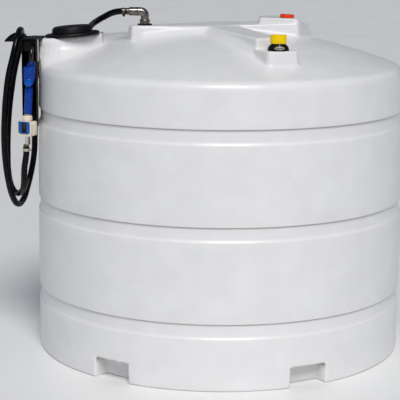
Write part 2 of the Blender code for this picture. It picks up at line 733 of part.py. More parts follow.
def spout_holder():
    # A plate across the bracket with the hole that the nozzle's spout rests in.
    hole_x, hole_y, hole_z = SPOUT_ROUTE[SPOUT_REST]
    plate = block("spout_holder", (BRACKET_LEFT + SHEET + SEAT_GAP, hole_y - 0.002, hole_z - 0.026),
                  (BRACKET_RIGHT_FRONT - SHEET - 0.0055, hole_y + 0.002, BRACKET_TOP - SEAT_GAP))
    hole = rod("spout_hole", (hole_x, hole_y - 0.02, hole_z), (hole_x, hole_y + 0.02, hole_z),
               SPOUT_HOLE_RADIUS, 24)
    made = boolean(plate, hole, "DIFFERENCE")
    finished("spout_holder", made, black_steel())


def nozzle():
    # The blue hand nozzle, hanging with its spout up, its grip down to the meter.
    spout_points = [SPOUT_ROUTE[0], *smooth_route(SPOUT_ROUTE[1:], 0.012)]
    spout = tube_mesh("nozzle_spout", spout_points, SPOUT_RADIUS, 3)
    smooth(spout)
    finished("nozzle_spout", spout, black_plastic())
    knob = upright_rod("nozzle_collar", (COLLAR_X, GUN_Y), COLLAR_BOTTOM, COLLAR_TOP, COLLAR_RADIUS, 28)
    rounded(knob, 0.004)
    smooth(knob)
    finished("nozzle_collar", knob, blue_plastic())
    body = block("nozzle_body", BODY_LOW, BODY_HIGH, 0.009)
    finished("nozzle_body", body, blue_plastic())
    disc_back = BODY_LOW[1] - SEAT_GAP
    disc = rod("nozzle_disc", (DISC_X, disc_back, DISC_Z), (DISC_X, disc_back - DISC_THICKNESS, DISC_Z),
               DISC_RADIUS, 28)
    smooth(disc)
    finished("nozzle_disc", disc, blue_plastic())
    grip = rod("nozzle_grip", (GRIP_X, GUN_Y, GRIP_BOTTOM), (GRIP_X, GUN_Y, GRIP_TOP), GRIP_RADII[0], 28,
               GRIP_RADII[1])
    for vertex in grip.data.vertices:
        if vertex.co.z > (GRIP_BOTTOM + GRIP_TOP) / 2:
            vertex.co.x += GRIP_LEAN
    smooth(grip)
    finished("nozzle_grip", grip, blue_plastic())
    lever = tube_mesh("nozzle_lever", smooth_route(LEVER_ROUTE, 0.016), LEVER_RADIUS, 2)
    smooth(lever)
    finished("nozzle_lever", lever, black_plastic())
    swivel = upright_rod("nozzle_swivel", (SWIVEL_X, GUN_Y), SWIVEL_BOTTOM, SWIVEL_TOP, SWIVEL_RADIUS, 28)
    smooth(swivel)
    finished("nozzle_swivel", swivel, steel())


def turned_block(name, size, offset, rounding=0.0):
    # A box in the meter's own turned frame, given by its size and its offset from the meter's middle.
    turn = Matrix.Rotation(-math.radians(METER_TURN), 4, "Z")
    low = [-value / 2 + shift for value, shift in zip(size, offset)]
    high = [value / 2 + shift for value, shift in zip(size, offset)]
    made = block(name, low, high, rounding)
    return moved(made, METER_CENTRE, turn)


def flow_meter():
    half_depth = METER_SIZE[1] / 2
    body = turned_block("meter_body", METER_SIZE, (0, 0, 0), 0.006)
    finished("meter_body", body, cream_plastic())
    frame_depth = METER_FRAME_SIZE[1]
    frame_y = -half_depth - SEAT_GAP - frame_depth / 2
    frame = turned_block("meter_frame", METER_FRAME_SIZE, (0, frame_y, METER_FRAME_LIFT))
    finished("meter_frame", frame, material("blue_label_plastic", (0.01, 0.12, 0.40), 0.35))
    display_y = frame_y - frame_depth / 2 - SEAT_GAP - METER_DISPLAY_SIZE[1] / 2
    display = turned_block("meter_display", METER_DISPLAY_SIZE, (0, display_y, METER_DISPLAY_LIFT))
    finished("meter_display", display, material("black_glass", (0.01, 0.012, 0.01), 0.1))
    x, y, z = METER_CENTRE
    top = z + METER_SIZE[2] / 2 + SEAT_GAP
    collar = upright_rod("meter_collar", (x, y), top, METER_COLLAR_TOP, METER_COLLAR_RADIUS, 28)
    rounded(collar, 0.003)
    smooth(collar)
    finished("meter_collar", collar, cream_plastic())
    low = z - METER_SIZE[2] / 2 - SEAT_GAP
    nipple = upright_rod("meter_nipple", (x, y), low, NIPPLE_BOTTOM, NIPPLE_RADIUS, 24)
    smooth(nipple)
    finished("meter_nipple", nipple, steel())
    end_x, end_y, end_z = HOSE_ROUTE[-1]
    barb = rod("meter_hose_tail", (end_x, end_y, NIPPLE_BOTTOM - SEAT_GAP), (end_x, end_y, end_z + SEAT_GAP),
               METER_TAIL_RADIUS, 24)
    smooth(barb)
    finished("meter_hose_tail", barb, material("brass", (0.55, 0.42, 0.20), 0.35, 1.0))


def filling_point():
    x, y = FILLER_CENTRE
    foot = STEP_Z + SEAT_GAP
    edge = 0.002
    flange = turned("filler_flange", ((0.0, FILLER_NECK_TOP), (FILLER_NECK_RADIUS, FILLER_NECK_TOP),
                                      (FILLER_NECK_FOOT_RADIUS, FILLER_RIM_TOP),
                                      (FILLER_RIM_RADIUS - edge, FILLER_RIM_TOP),
                                      (FILLER_RIM_RADIUS, FILLER_RIM_TOP - edge),
                                      (FILLER_RIM_RADIUS, foot), (0.0, foot)), 36)
    moved(flange, (x, y, 0))
    smooth(flange)
    finished("filler_flange", flange, black_plastic())
    low = FILLER_NECK_TOP + SEAT_GAP
    cap = upright_rod("filler_cap", FILLER_CENTRE, low, FILLER_CAP_TOP, FILLER_CAP_RADIUS, 36)
    rounded(cap, 0.003)
    smooth(cap)
    finished("filler_cap", cap, material("yellow_plastic", (0.95, 0.66, 0.0), 0.35))
    padlock(x + PADLOCK_SHIFT[0], y + PADLOCK_SHIFT[1], FILLER_RIM_TOP + SEAT_GAP)


def padlock(x, y, low):
    # A flat padlock body lying on the flange, with its bow standing up in front of the neck.
    width, depth, height = PADLOCK_SIZE
    lock = block("padlock_body", (x - width / 2, y - depth / 2, low),
                 (x + width / 2, y + depth / 2, low + height), 0.005)
    finished("padlock_body", lock, steel())
    foot = low + height + SEAT_GAP
    bow_z = foot + SHACKLE_HEIGHT
    arch = [(x, y - SHACKLE_HALF_WIDTH, foot)]
    bow_steps = 6
    for step in range(bow_steps + 1):
        angle = math.pi * step / bow_steps
        across = SHACKLE_HALF_WIDTH * math.cos(angle)
        up = SHACKLE_HALF_WIDTH * math.sin(angle)
        arch.append((x, y - across, bow_z + up))
    arch.append((x, y + SHACKLE_HALF_WIDTH, foot))
    shackle = tube_mesh("padlock_shackle", arch, SHACKLE_RADIUS, 2)
    smooth(shackle)
    finished("padlock_shackle", shackle, steel())


def vent_cap():
    low = VENT_BLOCK_Z + SEAT_GAP
    cap = upright_rod("vent_cap", VENT_CENTRE, low, low + VENT_CAP_HEIGHT, VENT_CAP_RADIUS, 36)
    rounded(cap, 0.002)
    smooth(cap)
    finished("vent_cap", cap, material("orange_plastic", (0.80, 0.07, 0.01), 0.35))


clear_scene()
tank_wall()
tank_floor()
tank_skirts()
tank_roof()
inspection_lid()
roof_outlet()
hose_clamp("outlet_clamp", OUTLET_CLAMP_CENTRE, (1, 0, 0), (0, 0, -1), (0, 1, 0))
delivery_hose()
nozzle_bracket()
hose_saddle()
spout_holder()
nozzle()
flow_meter()
hose_clamp("meter_clamp", METER_CLAMP_CENTRE, (0, 0, 1), (0.7, -0.7, 0), (0.7, 0.7, 0))
filling_point()
vent_cap()
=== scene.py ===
# Upright round tank for diesel exhaust fluid, with the equipment on its roof and its left side.
# Metres, +Z up. -Y is the front, and the origin is on the tank's axis at ground level.
import math

import bmesh
import bpy
import numpy as np
from mathutils import Matrix, Vector


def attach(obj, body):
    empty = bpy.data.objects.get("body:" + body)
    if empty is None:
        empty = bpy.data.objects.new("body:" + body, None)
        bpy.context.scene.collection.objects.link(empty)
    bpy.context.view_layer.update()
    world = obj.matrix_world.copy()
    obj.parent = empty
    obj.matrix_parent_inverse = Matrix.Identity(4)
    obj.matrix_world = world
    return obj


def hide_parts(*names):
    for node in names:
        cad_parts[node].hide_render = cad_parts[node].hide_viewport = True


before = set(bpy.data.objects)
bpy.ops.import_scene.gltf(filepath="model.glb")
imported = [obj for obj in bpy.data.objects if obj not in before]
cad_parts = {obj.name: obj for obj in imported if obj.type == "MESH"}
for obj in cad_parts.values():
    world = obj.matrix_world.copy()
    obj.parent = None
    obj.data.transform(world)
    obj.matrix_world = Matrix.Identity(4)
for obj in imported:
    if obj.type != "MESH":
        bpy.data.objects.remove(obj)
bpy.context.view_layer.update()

# The camera stands 7 m from the tank's axis at a little over head height, as in the photograph,
# with a long lens and a slight turn and roll.
CAMERA_PLACE = (0.0, -7.046, 2.0891)
CAMERA_TURN = math.radians(0.787)
CAMERA_DOWN = math.radians(11.119)
CAMERA_ROLL = math.radians(0.406)
CAMERA_LENS_MM = 128.83

view = bpy.data.cameras.new("camera")
view.sensor_width = 36.0
view.lens = CAMERA_LENS_MM
camera = bpy.data.objects.new("camera", view)
bpy.context.scene.collection.objects.link(camera)
camera.matrix_world = (Matrix.Translation(CAMERA_PLACE) @ Matrix.Rotation(CAMERA_TURN, 4, "Z")
                       @ Matrix.Rotation(math.pi / 2 - CAMERA_DOWN, 4, "X")
                       @ Matrix.Rotation(CAMERA_ROLL, 4, "Z"))
bpy.context.scene.camera = camera

# Studio light: a broad soft light from the front, a little to the right and at 49 degrees, and a
# dim, slightly cool room all round. Plain display colours keep the white plastic white.
KEY_DIRECTION = (-0.09, 0.65, -0.76)
KEY_STRENGTH = 2.34
KEY_SPREAD = math.radians(26)
ROOM_STRENGTH = 0.17

bpy.context.scene.view_settings.view_transform = "Standard"


def linear(code):
    # An sRGB hex colour as linear red, green, blue and alpha.
    parts = [int(code[i:i + 2], 16) / 255 for i in (1, 3, 5)]
    return (*[c / 12.92 if c <= 0.04045 else ((c + 0.055) / 1.055) ** 2.4 for c in parts], 1.0)


key = bpy.data.lights.new("key_light", "SUN")
key.energy = KEY_STRENGTH
key.angle = KEY_SPREAD
key.color = linear("#FFFDFA")[:3]
key_light = bpy.data.objects.new("key_light", key)
bpy.context.scene.collection.objects.link(key_light)
key_light.rotation_euler = Vector(KEY_DIRECTION).to_track_quat("-Z", "Y").to_euler()
room = bpy.data.worlds.new("room")
bpy.context.scene.world = room
room.use_nodes = True
room.node_tree.nodes["Background"].inputs["Color"].default_value = linear("#D5E4FA")
room.node_tree.nodes["Background"].inputs["Strength"].default_value = ROOM_STRENGTH

# Floor: smooth concrete under a pale, slightly uneven paint, level, on which the tank stands. It is
# a plain disc that ends far outside the picture.
FLOOR_RADIUS = 60.0
FLOOR_TONE = "#F8F8F8"


def add_node(tree, kind, inputs=(), **settings):
    # One shader node with its settings, and with a value or a link for each named input.
    made = tree.nodes.new("ShaderNode" + kind)
    for name, value in settings.items():
        setattr(made, name, value)
    for name, value in dict(inputs).items():
        if isinstance(value, bpy.types.NodeSocket):
            tree.links.new(value, made.inputs[name])
        else:
            made.inputs[name].default_value = value
    return made


def new_material(name):
    made = bpy.data.materials.new(name)
    made.use_nodes = True
    made.node_tree.nodes.clear()
    return made, made.node_tree


def place_in(tree):
    # A point's place on its own object, in metres.
    return add_node(tree, "TexCoord").outputs["Object"]


def noise(tree, scale, detail, place=None):
    # Noise with the given number of waves to the metre.
    place = place_in(tree) if place is None else place
    return add_node(tree, "TexNoise", {"Vector": place, "Scale": scale, "Detail": detail}).outputs["Fac"]


def ramp(tree, value, start, end, first, last, kind="LINEAR"):
    # Runs from the first to the last number while a value goes from start to end.
    return add_node(tree, "MapRange", {"Value": value, "From Min": start, "From Max": end, "To Min": first,
                                       "To Max": last}, interpolation_type=kind).outputs["Result"]


def patches(tree, size, low, high):
    # Soft patches of the given size in metres, running between two numbers.
    return ramp(tree, noise(tree, 1 / size, 3.0), 0.3, 0.7, low, high)


def surface(tree, colour, gloss, more=()):
    # Ends a material: its colour, its roughness in patches (size, low, high), and other inputs.
    shader = add_node(tree, "BsdfPrincipled", {"Base Color": colour, "Roughness": patches(tree, *gloss),
                                               **dict(more)})
    add_node(tree, "OutputMaterial", {"Surface": shader.outputs["BSDF"]})


def deselect():
    if bpy.context.mode != "OBJECT":
        bpy.ops.object.mode_set(mode="OBJECT")
    bpy.ops.object.select_all(action="DESELECT")


def take(target):
    # Selects one object alone and makes it active.
    deselect()
    target.select_set(True)
    bpy.context.view_layer.objects.active = target


deselect()
bpy.ops.mesh.primitive_circle_add(vertices=64, radius=FLOOR_RADIUS, fill_type="NGON", location=(0, 0, 0))
floor = bpy.context.object
floor.name = "floor"
paint, tree = new_material("pale_floor_paint")
surface(tree, linear(FLOOR_TONE), (0.9, 0.42, 0.5))
floor.data.materials.append(paint)

# Delivery hose: black rubber hose of 30 mm, from the roof outlet round behind the lid, down the
# tank's side and twice over the saddle to the meter. It is one smooth length pushed on its tails.
HOSE_RADIUS = 0.015
HOSE_ROUTE = (
    (-0.4525, -0.14, 1.651), (-0.478, -0.14, 1.651), (-0.517, -0.126, 1.644), (-0.562, -0.096, 1.622),
    (-0.605, -0.04, 1.596), (-0.636, 0.018, 1.572), (-0.67, 0.066, 1.533), (-0.713, 0.104, 1.488),
    (-0.772, 0.128, 1.455), (-0.844, 0.136, 1.427), (-0.905, 0.133, 1.372), (-0.93, 0.125, 1.299),
    (-0.9345, 0.113, 1.22), (-0.932, 0.098, 1.12), (-0.9335, 0.088, 1.02), (-0.937, 0.082, 0.925),
    (-0.95, 0.068, 0.838), (-0.9675, 0.03, 0.755), (-0.982, -0.035, 0.702), (-0.998, -0.105, 0.697),
    (-1.014, -0.168, 0.748), (-1.027, -0.205, 0.83), (-1.037, -0.221, 0.93), (-1.041, -0.224, 1.04),
    (-1.037, -0.223, 1.15), (-1.028, -0.221, 1.255), (-1.014, -0.22, 1.35), (-0.994, -0.218, 1.43),
    (-0.98, -0.203, 1.495), (-0.973, -0.16, 1.539), (-0.972, -0.1, 1.555), (-0.974, -0.04, 1.539),
    (-0.984, 0.003, 1.495), (-1.0, 0.019, 1.43), (-1.02, 0.024, 1.35), (-1.036, 0.022, 1.255),
    (-1.047, -0.002, 1.15), (-1.052, -0.024, 1.04), (-1.0525, -0.043, 0.94), (-1.049, -0.055, 0.85),
    (-1.032, -0.083, 0.785), (-1.004, -0.122, 0.758), (-0.963, -0.19, 0.78), (-0.945, -0.25, 0.834),
    (-0.938, -0.279, 0.905), (-0.9262, -0.288, 0.985), (-0.9262, -0.288, 1.0125))


def rod_curve(name, route, radius, roundness, steps):
    # A round hose or bar with closed ends along a smooth line of points.
    line = bpy.data.curves.new(name, "CURVE")
    line.dimensions = "3D"
    line.bevel_depth = radius
    line.bevel_resolution = roundness
    line.resolution_u = steps
    line.use_fill_caps = True
    spline = line.splines.new("BEZIER")
    spline.bezier_points.add(len(route) - 1)
    for knot, point in zip(spline.bezier_points, route):
        knot.co = point
        knot.handle_left_type = "AUTO"
        knot.handle_right_type = "AUTO"
    made = bpy.data.objects.new(name, line)
    bpy.context.scene.collection.objects.link(made)
    return made


def mixed(tree, part, first, second):
    # A colour between two others, each a hex code or a socket.
    first, second = (linear(tone) if isinstance(tone, str) else tone for tone in (first, second))
    return add_node(tree, "Mix", {0: part, 6: first, 7: second}, data_type="RGBA").outputs[2]


def relief(tree, scale, detail, strength, depth, place=None, **under):
    # Noise as fine relief of the given depth in metres.
    return add_node(tree, "Bump", {"Height": noise(tree, scale, detail, place), "Strength": strength,
                                   "Distance": depth, **under}).outputs["Normal"]


# Extruded synthetic rubber: nearly black, satin, with a slightly uneven skin.
hose = rod_curve("delivery_hose_cover", HOSE_ROUTE, HOSE_RADIUS, 6, 6)
rubber, tree = new_material("extruded_black_rubber")
surface(tree, mixed(tree, patches(tree, 0.05, 0.0, 1.0), "#010102", "#050506"), (0.02, 0.24, 0.34),
        {"Specular IOR Level": 0.18, "Normal": relief(tree, 260.0, 2.0, 0.08, 0.0003)})
hose.data.materials.append(rubber)
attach(hose, "root")
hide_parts("delivery_hose")

# Tank skin: white polyethylene, rotationally moulded in one piece, with three grooves round the wall,
# four pockets in its foot, and the raised forms of the roof blended into its crown.
TANK_RADIUS = 0.9
RIM_RADIUS = 0.891
RIM_Z = 1.308
NARROWING_Z = 0.45
NARROWING_POWER = 1.5
CROWN_Z = 1.565
CROWN_FALL = 0.181
CROWN_POWER = 1.9
SHOULDER_RADIUS = 0.048
SHOULDER_ANGLE = math.radians(67)
GROOVES = ((1.187, 1.121), (0.753, 0.688), (0.312, 0.245))
GROOVE_DEPTH = 0.009
GROOVE_LIP = 0.004
GROOVE_ROOT = 0.002
GROOVE_FOOT = (
    (0.0, 0.018), (0.0008, 0.011), (0.003, 0.005), (0.0064, 0.001), (0.0083, -0.002), (0.009, -0.006))
FOOT_ROUNDING = 0.012
FOOT_WIDTH = 0.04
SKIN_COLUMNS = 144
CROWN_RINGS = 60
CROWN_START = 0.006


def crown_height(radius):
    # The height of the plain roof at a distance from the tank's axis.
    return CROWN_Z - CROWN_FALL * (radius / TANK_RADIUS) ** CROWN_POWER


def wall_radius(height):
    # The wall is upright below and draws in a little towards its top.
    part = max(0.0, height - NARROWING_Z) / (RIM_Z - NARROWING_Z)
    return TANK_RADIUS - (TANK_RADIUS - RIM_RADIUS) * part ** NARROWING_POWER


ARC_RADIUS = RIM_RADIUS - SHOULDER_RADIUS
JOIN_RADIUS = ARC_RADIUS + SHOULDER_RADIUS * math.cos(SHOULDER_ANGLE)
ARC_Z = crown_height(JOIN_RADIUS) - SHOULDER_RADIUS * math.sin(SHOULDER_ANGLE)


def arc(middle, radius, start, end, steps):
    # Points of a round corner in a profile, from one angle to another in degrees.
    turns = [math.radians(start + (end - start) * i / steps) for i in range(steps + 1)]
    return [(middle[0] + radius * math.cos(t), middle[1] + radius * math.sin(t)) for t in turns]


def filled(name, columns, radius, place, outline=()):
    # A filled circle or outline, open for editing and chosen.
    deselect()
    bpy.ops.mesh.primitive_circle_add(vertices=columns, radius=radius, location=place)
    made = bpy.context.object
    made.name = name
    bpy.ops.object.transform_apply()
    for vertex, point in zip(made.data.vertices, outline):
        vertex.co = point
    bpy.ops.object.mode_set(mode="EDIT")
    bpy.ops.mesh.select_all(action="SELECT")
    bpy.ops.mesh.edge_face_add()
    bpy.ops.mesh.select_all(action="SELECT")
    return made


def drawn(move, scale, centre):
    # Draws the chosen face on by a step, and makes it wider or narrower.
    bpy.ops.mesh.extrude_region_move(TRANSFORM_OT_translate={"value": move})
    bpy.ops.transform.resize(value=scale, center_override=centre)


def close_up(weld=False):
    # Ends the editing of a piece, with its faces turned outwards.
    bpy.ops.mesh.select_all(action="SELECT")
    if weld:
        bpy.ops.mesh.remove_doubles(threshold=0.00001)
    bpy.ops.mesh.normals_make_consistent(inside=False)
    bpy.ops.object.mode_set(mode="OBJECT")


def turned(name, profile, columns, centre=(0.0, 0.0)):
    # Turns a profile of (radius, height) into a closed skin: a circle that is extruded ring by ring.
    made = filled(name, columns, profile[0][0], (*centre, profile[0][1]))
    for (radius, height), (next_radius, next_height) in zip(profile, profile[1:]):
        part = next_radius / radius
        drawn((0, 0, next_height - height), (part, part, 1.0), (*centre, next_height))
    close_up()
    return made


skin_profile = []
for ring in range(CROWN_RINGS):
    radius = CROWN_START + (JOIN_RADIUS - CROWN_START) * ring / CROWN_RINGS
    skin_profile.append((radius, crown_height(radius)))
skin_profile += arc((ARC_RADIUS, ARC_Z), SHOULDER_RADIUS, math.degrees(SHOULDER_ANGLE), 0, 10)
skin_profile += [(wall_radius(height), height) for height in (RIM_Z, 1.26, 1.21)]
for upper, lower in GROOVES:
    outer = wall_radius(upper)
    inner = outer - GROOVE_DEPTH
    skin_profile += arc((outer - GROOVE_LIP, upper + 0.005), GROOVE_LIP, 0, -80, 4)
    skin_profile += arc((inner + GROOVE_ROOT, upper + 0.0005), GROOVE_ROOT, 100, 180, 3)
    inner = wall_radius(lower) - GROOVE_DEPTH
    skin_profile += [(inner + out, lower + up) for out, up in GROOVE_FOOT]
    if lower > NARROWING_Z:
        skin_profile += [(wall_radius(lower - drop), lower - drop) for drop in (0.05, 0.12, 0.2, 0.28)]
skin_profile += [(TANK_RADIUS, height) for height in (0.15, 0.115, 0.085, 0.04)]
skin_profile += arc((TANK_RADIUS - FOOT_ROUNDING, FOOT_ROUNDING), FOOT_ROUNDING, 0, -90, 4)
skin_profile += [(TANK_RADIUS - FOOT_WIDTH, 0.0)]
skin = turned("tank_skin", skin_profile, SKIN_COLUMNS)

# Pockets for straps or forks in the tank's foot: moulded with it. Each is cut out by a wedge of a
# ring, and its corners and rims are rounded.
POCKET_ANGLES = (-33.0, 27.5, 147.0, 207.5)
POCKET_HALF_ANGLE = 6.0
POCKET_HEIGHT = 0.098
POCKET_DEPTH = 0.077
POCKET_CORNER = 0.014
POCKET_RIM = 0.009
CUT_PAST = 0.05
POCKET_STEEPNESS = math.radians(50)
POCKET_INNER = TANK_RADIUS - POCKET_DEPTH
POCKET_OUTER = TANK_RADIUS + CUT_PAST
POCKET_SECTION = ((POCKET_INNER, -CUT_PAST), (POCKET_OUTER, -CUT_PAST), (POCKET_INNER, POCKET_HEIGHT),
                  (POCKET_OUTER, POCKET_HEIGHT))


def cut(target, cutter):
    # Cuts one shape out of another, and takes the cutter away.
    take(target)
    change = target.modifiers.new("cut", "BOOLEAN")
    change.operation = "DIFFERENCE"
    change.solver = "EXACT"
    change.object = cutter
    bpy.ops.object.modifier_apply(modifier=change.name)
    bpy.data.objects.remove(cutter)


def choose(target, kind, tests):
    # Opens a piece for editing, with the edges or faces chosen that pass the tests.
    take(target)
    bpy.ops.object.mode_set(mode="EDIT")
    bpy.ops.mesh.select_mode(type=kind)
    bpy.ops.mesh.select_all(action="DESELECT")
    shape = bmesh.from_edit_mesh(target.data)
    parts = list(shape.edges if kind == "EDGE" else shape.faces)
    for part, wanted in zip(parts, tests(parts)):
        part.select = bool(wanted)
    shape.select_flush_mode()
    bmesh.update_edit_mesh(target.data)


def bevel_edges(target, test, width, segments):
    # Rounds the edges that a test picks.
    choose(target, "EDGE", lambda edges: [test(edge) for edge in edges])
    bpy.ops.mesh.bevel(offset=width, segments=segments, profile=0.5)
    bpy.ops.object.mode_set(mode="OBJECT")


def is_pocket_edge(edge, convex):
    low = max(vertex.co.z for vertex in edge.verts) < POCKET_HEIGHT + 0.002
    turn = edge.calc_face_angle_signed(0.0)
    return low and (turn if convex else -turn) > POCKET_STEEPNESS


for angle in POCKET_ANGLES:
    deselect()
    bpy.ops.mesh.primitive_plane_add(size=1, location=(0, 0, 0))
    cutter = bpy.context.object
    for vertex, (radius, height) in zip(cutter.data.vertices, POCKET_SECTION):
        vertex.co = (0.0, -radius, height)
    bpy.ops.object.mode_set(mode="EDIT")
    bpy.ops.mesh.select_all(action="SELECT")
    bpy.ops.transform.rotate(value=-math.radians(angle - POCKET_HALF_ANGLE), orient_axis="Z",
                             center_override=(0, 0, 0))
    bpy.ops.mesh.spin(steps=8, angle=-math.radians(2 * POCKET_HALF_ANGLE), center=(0, 0, 0), axis=(0, 0, 1))
    close_up()
    cut(skin, cutter)
for convex, width in ((False, POCKET_CORNER), (True, POCKET_RIM)):
    bevel_edges(skin, lambda edge: is_pocket_edge(edge, convex), width, 3)

# Raised forms of the roof. Each has a wall line in plan, the planes of its top (three points each),
# the rounding of its upright corners and of its top edge, and the width of the chamfer at its foot.


def curved(start, control, end, steps):
    # Points of a smooth curve between two points that leans towards a third.
    parts = [i / steps for i in range(steps + 1)]
    return [tuple((1 - t) ** 2 * a + 2 * t * (1 - t) * b + t * t * c for a, b, c in zip(start, control, end))
            for t in parts]


PLATFORM_PLAN = ((-0.96, -0.186), *curved((-0.885, -0.194), (-0.735, -0.278), (-0.6, -0.14), 12),
                 (-0.576, -0.105), (-0.576, 0.015), (-0.6, 0.03), (-0.96, 0.03))
FORM_RADIUS = 0.8905
LINK_PLAN = ((-0.64, 0.0), (-0.38, 0.0), (-0.34, 0.13), (-0.64, 0.13))
PLATEAU_PLAN = (
    (-0.447, -0.128), (-0.425, -0.19), (-0.385, -0.198), (-0.055, -0.198), (0.085, -0.108), (0.174, -0.01),
    (0.174, 0.14), (-0.04, 0.092), (-0.395, -0.092))
RIB_PLAN = ((-0.085, -0.155), (0.163, -0.563), (0.281, -0.496), (0.06, -0.058))
STEP_PLAN = ((0.143, -0.56), (0.213, -0.693), (0.354, -0.633), (0.284, -0.496))
VENT_ARM_PLAN = (
    (0.08, -0.103), (0.372, -0.09), (0.449, 0.092), (0.4, 0.175), (0.345, 0.165), (0.186, 0.165),
    (0.05, 0.05))
VENT_BLOCK_PLAN = ((0.184, -0.03), (0.37, -0.088), (0.44, 0.085), (0.4, 0.16), (0.345, 0.15), (0.19, 0.13))
PLATEAU_Z = 1.586
STEP_Z = 1.5115
VENT_BLOCK_Z = 1.618


def level_plane(height):
    # Three points of a level plane.
    return (0.0, 0.0, height), (0.1, 0.0, height), (0.0, 0.1, height)


ROOF_FORMS = (
    (PLATFORM_PLAN, (((-0.868, 0.0, 1.52), (-0.576, 0.0, 1.5408), (-0.868, -0.2, 1.52)),),
     0.012, 0.009, 0.055),
    (LINK_PLAN, (level_plane(1.525),), 0.012, 0.01, 0.03),
    (PLATEAU_PLAN, (level_plane(PLATEAU_Z),), 0.018, 0.015, 0.028),
    (RIB_PLAN, (((-0.08, -0.155, PLATEAU_Z), (0.217, -0.534, 1.56), (0.06, -0.058, PLATEAU_Z)),),
     0.012, 0.01, 0.028),
    (STEP_PLAN, (level_plane(STEP_Z),), 0.022, 0.008, 0.006),
    (VENT_ARM_PLAN, (((0.08, -0.103, 1.586), (0.372, -0.09, 1.598), (0.345, 0.165, 1.597)),
                     ((0.371, -0.09, 1.598), (0.449, 0.092, 1.55), (0.344, 0.165, 1.598))),
     0.022, 0.008, 0.006),
    (VENT_BLOCK_PLAN, (level_plane(VENT_BLOCK_Z), ((0.3615, -0.08, VENT_BLOCK_Z), (0.44, 0.085, 1.573),
                                                   (0.3445, 0.15, VENT_BLOCK_Z))), 0.022, 0.008, 0.006),
)
WALL_DRAFT = math.tan(math.radians(4))
FORM_BLEND = 0.006
FOOT_BLEND = 0.01
RIM_BLEND = 0.004
RIDGE_ENDS = ((-0.336, -0.383, 1.527), (-0.338, -0.265, 1.545))
RIDGE_RADIUS = 0.013
RIDGE_BLEND = 0.014
RIB_SIDE = (0.922, 0.387)
RIB_MIDDLE = (0.038, -0.107)
RIB_FADE = 0.08
PLATFORM_FADE_X = -0.58
PLATFORM_FADE = 0.18
PLATEAU_FADE_X = -0.42
PLATEAU_FADE = 0.05


def soft_least(a, b, width):
    # The smaller of two distances, with the crease between them filled over the given width.
    near = np.maximum(width - np.abs(a - b), 0) / width
    return np.minimum(a, b) - near * near * width / 4


def soft_most(a, b, width):
    # The larger of two distances, softened in the same way.
    return -soft_least(-a, -b, width)


def outline_distance(x, y, plan):
    # Distance to a plan outline, negative inside it.
    near = np.full(x.shape, np.inf)
    inside = np.zeros(x.shape, bool)
    for (ax, ay), (bx, by) in zip(plan, plan[1:] + plan[:1]):
        ex = bx - ax
        ey = by - ay
        part = np.clip(((x - ax) * ex + (y - ay) * ey) / (ex * ex + ey * ey), 0, 1)
        near = np.minimum(near, np.hypot(x - ax - part * ex, y - ay - part * ey))
        if ey:
            inside ^= ((ay > y) != (by > y)) & (x < ax + (y - ay) * ex / ey)
    return np.where(inside, -near, near)


def moved_in(plan, distance):
    # The plan outline with each side moved inwards.
    sides = [Vector(b) - Vector(a) for a, b in zip(plan, plan[1:] + plan[:1])]
    inner = []
    for corner, before, after in zip(plan, sides[-1:] + sides[:-1], sides):
        before = before.normalized()
        after = after.normalized()
        inward = (Vector((-before.y, before.x)) + Vector((-after.y, after.x))).normalized()
        reach = distance / math.sqrt((1 + before.dot(after)) / 2)
        inner.append(tuple(Vector(corner) + inward * reach))
    return tuple(inner)


def side_distance(x, y, form):
    # Distance to the walls of one form, whose upright corners are rounded.
    corner = form[2]
    return outline_distance(x, y, moved_in(form[0], corner)) - corner


def upward(plane):
    # The direction straight out of a plane, upwards.
    first, second, third = (Vector(point) for point in plane)
    normal = (second - first).cross(third - first).normalized()
    return np.array(normal if normal.z > 0 else -normal)


def form_distance(points, form):
    # Distance to one raised form: inside its walls, and under each plane of its top.
    x, y, z = points.T
    above = None
    for plane in form[1]:
        over = (points - np.array(plane[0])) @ upward(plane)
        above = over if above is None else soft_most(above, over, form[3])
    shape = soft_most(side_distance(x, y, form) + WALL_DRAFT * above, above, form[3])
    return soft_most(shape, np.hypot(x, y) - FORM_RADIUS, RIM_BLEND)


def body_distance(points):
    # Distance to the plain tank: its crown, its shoulder and its wall.
    x, y, z = points.T
    radius = np.hypot(x, y)
    slope = CROWN_FALL * CROWN_POWER / TANK_RADIUS * (radius / TANK_RADIUS) ** (CROWN_POWER - 1)
    crown = (z - crown_height(radius)) / np.sqrt(1 + slope * slope)
    out = radius - ARC_RADIUS
    up = z - ARC_Z
    shoulder = np.hypot(out, up) - SHOULDER_RADIUS
    past = out * math.sin(SHOULDER_ANGLE) > up * math.cos(SHOULDER_ANGLE)
    return np.where(up < 0, radius - RIM_RADIUS, np.where(past, shoulder, crown))


def chamfer_width(points, form):
    # The chamfer fades out at the platform's right end, behind the plateau's left end and on the
    # rib's right side.
    x, y, z = points.T
    part = 1.0
    if form[0] is PLATFORM_PLAN:
        part = np.clip((PLATFORM_FADE_X - x) / PLATFORM_FADE, 0.06, 1)
    if form[0] is PLATEAU_PLAN:
        part = np.clip((x - PLATEAU_FADE_X) / PLATEAU_FADE, 0, 1)
    if form[0] is RIB_PLAN:
        beside = (x - RIB_MIDDLE[0]) * RIB_SIDE[0] + (y - RIB_MIDDLE[1]) * RIB_SIDE[1]
        part = np.clip(0.6 - beside / RIB_FADE, 0.2, 1)
    return form[4] * part


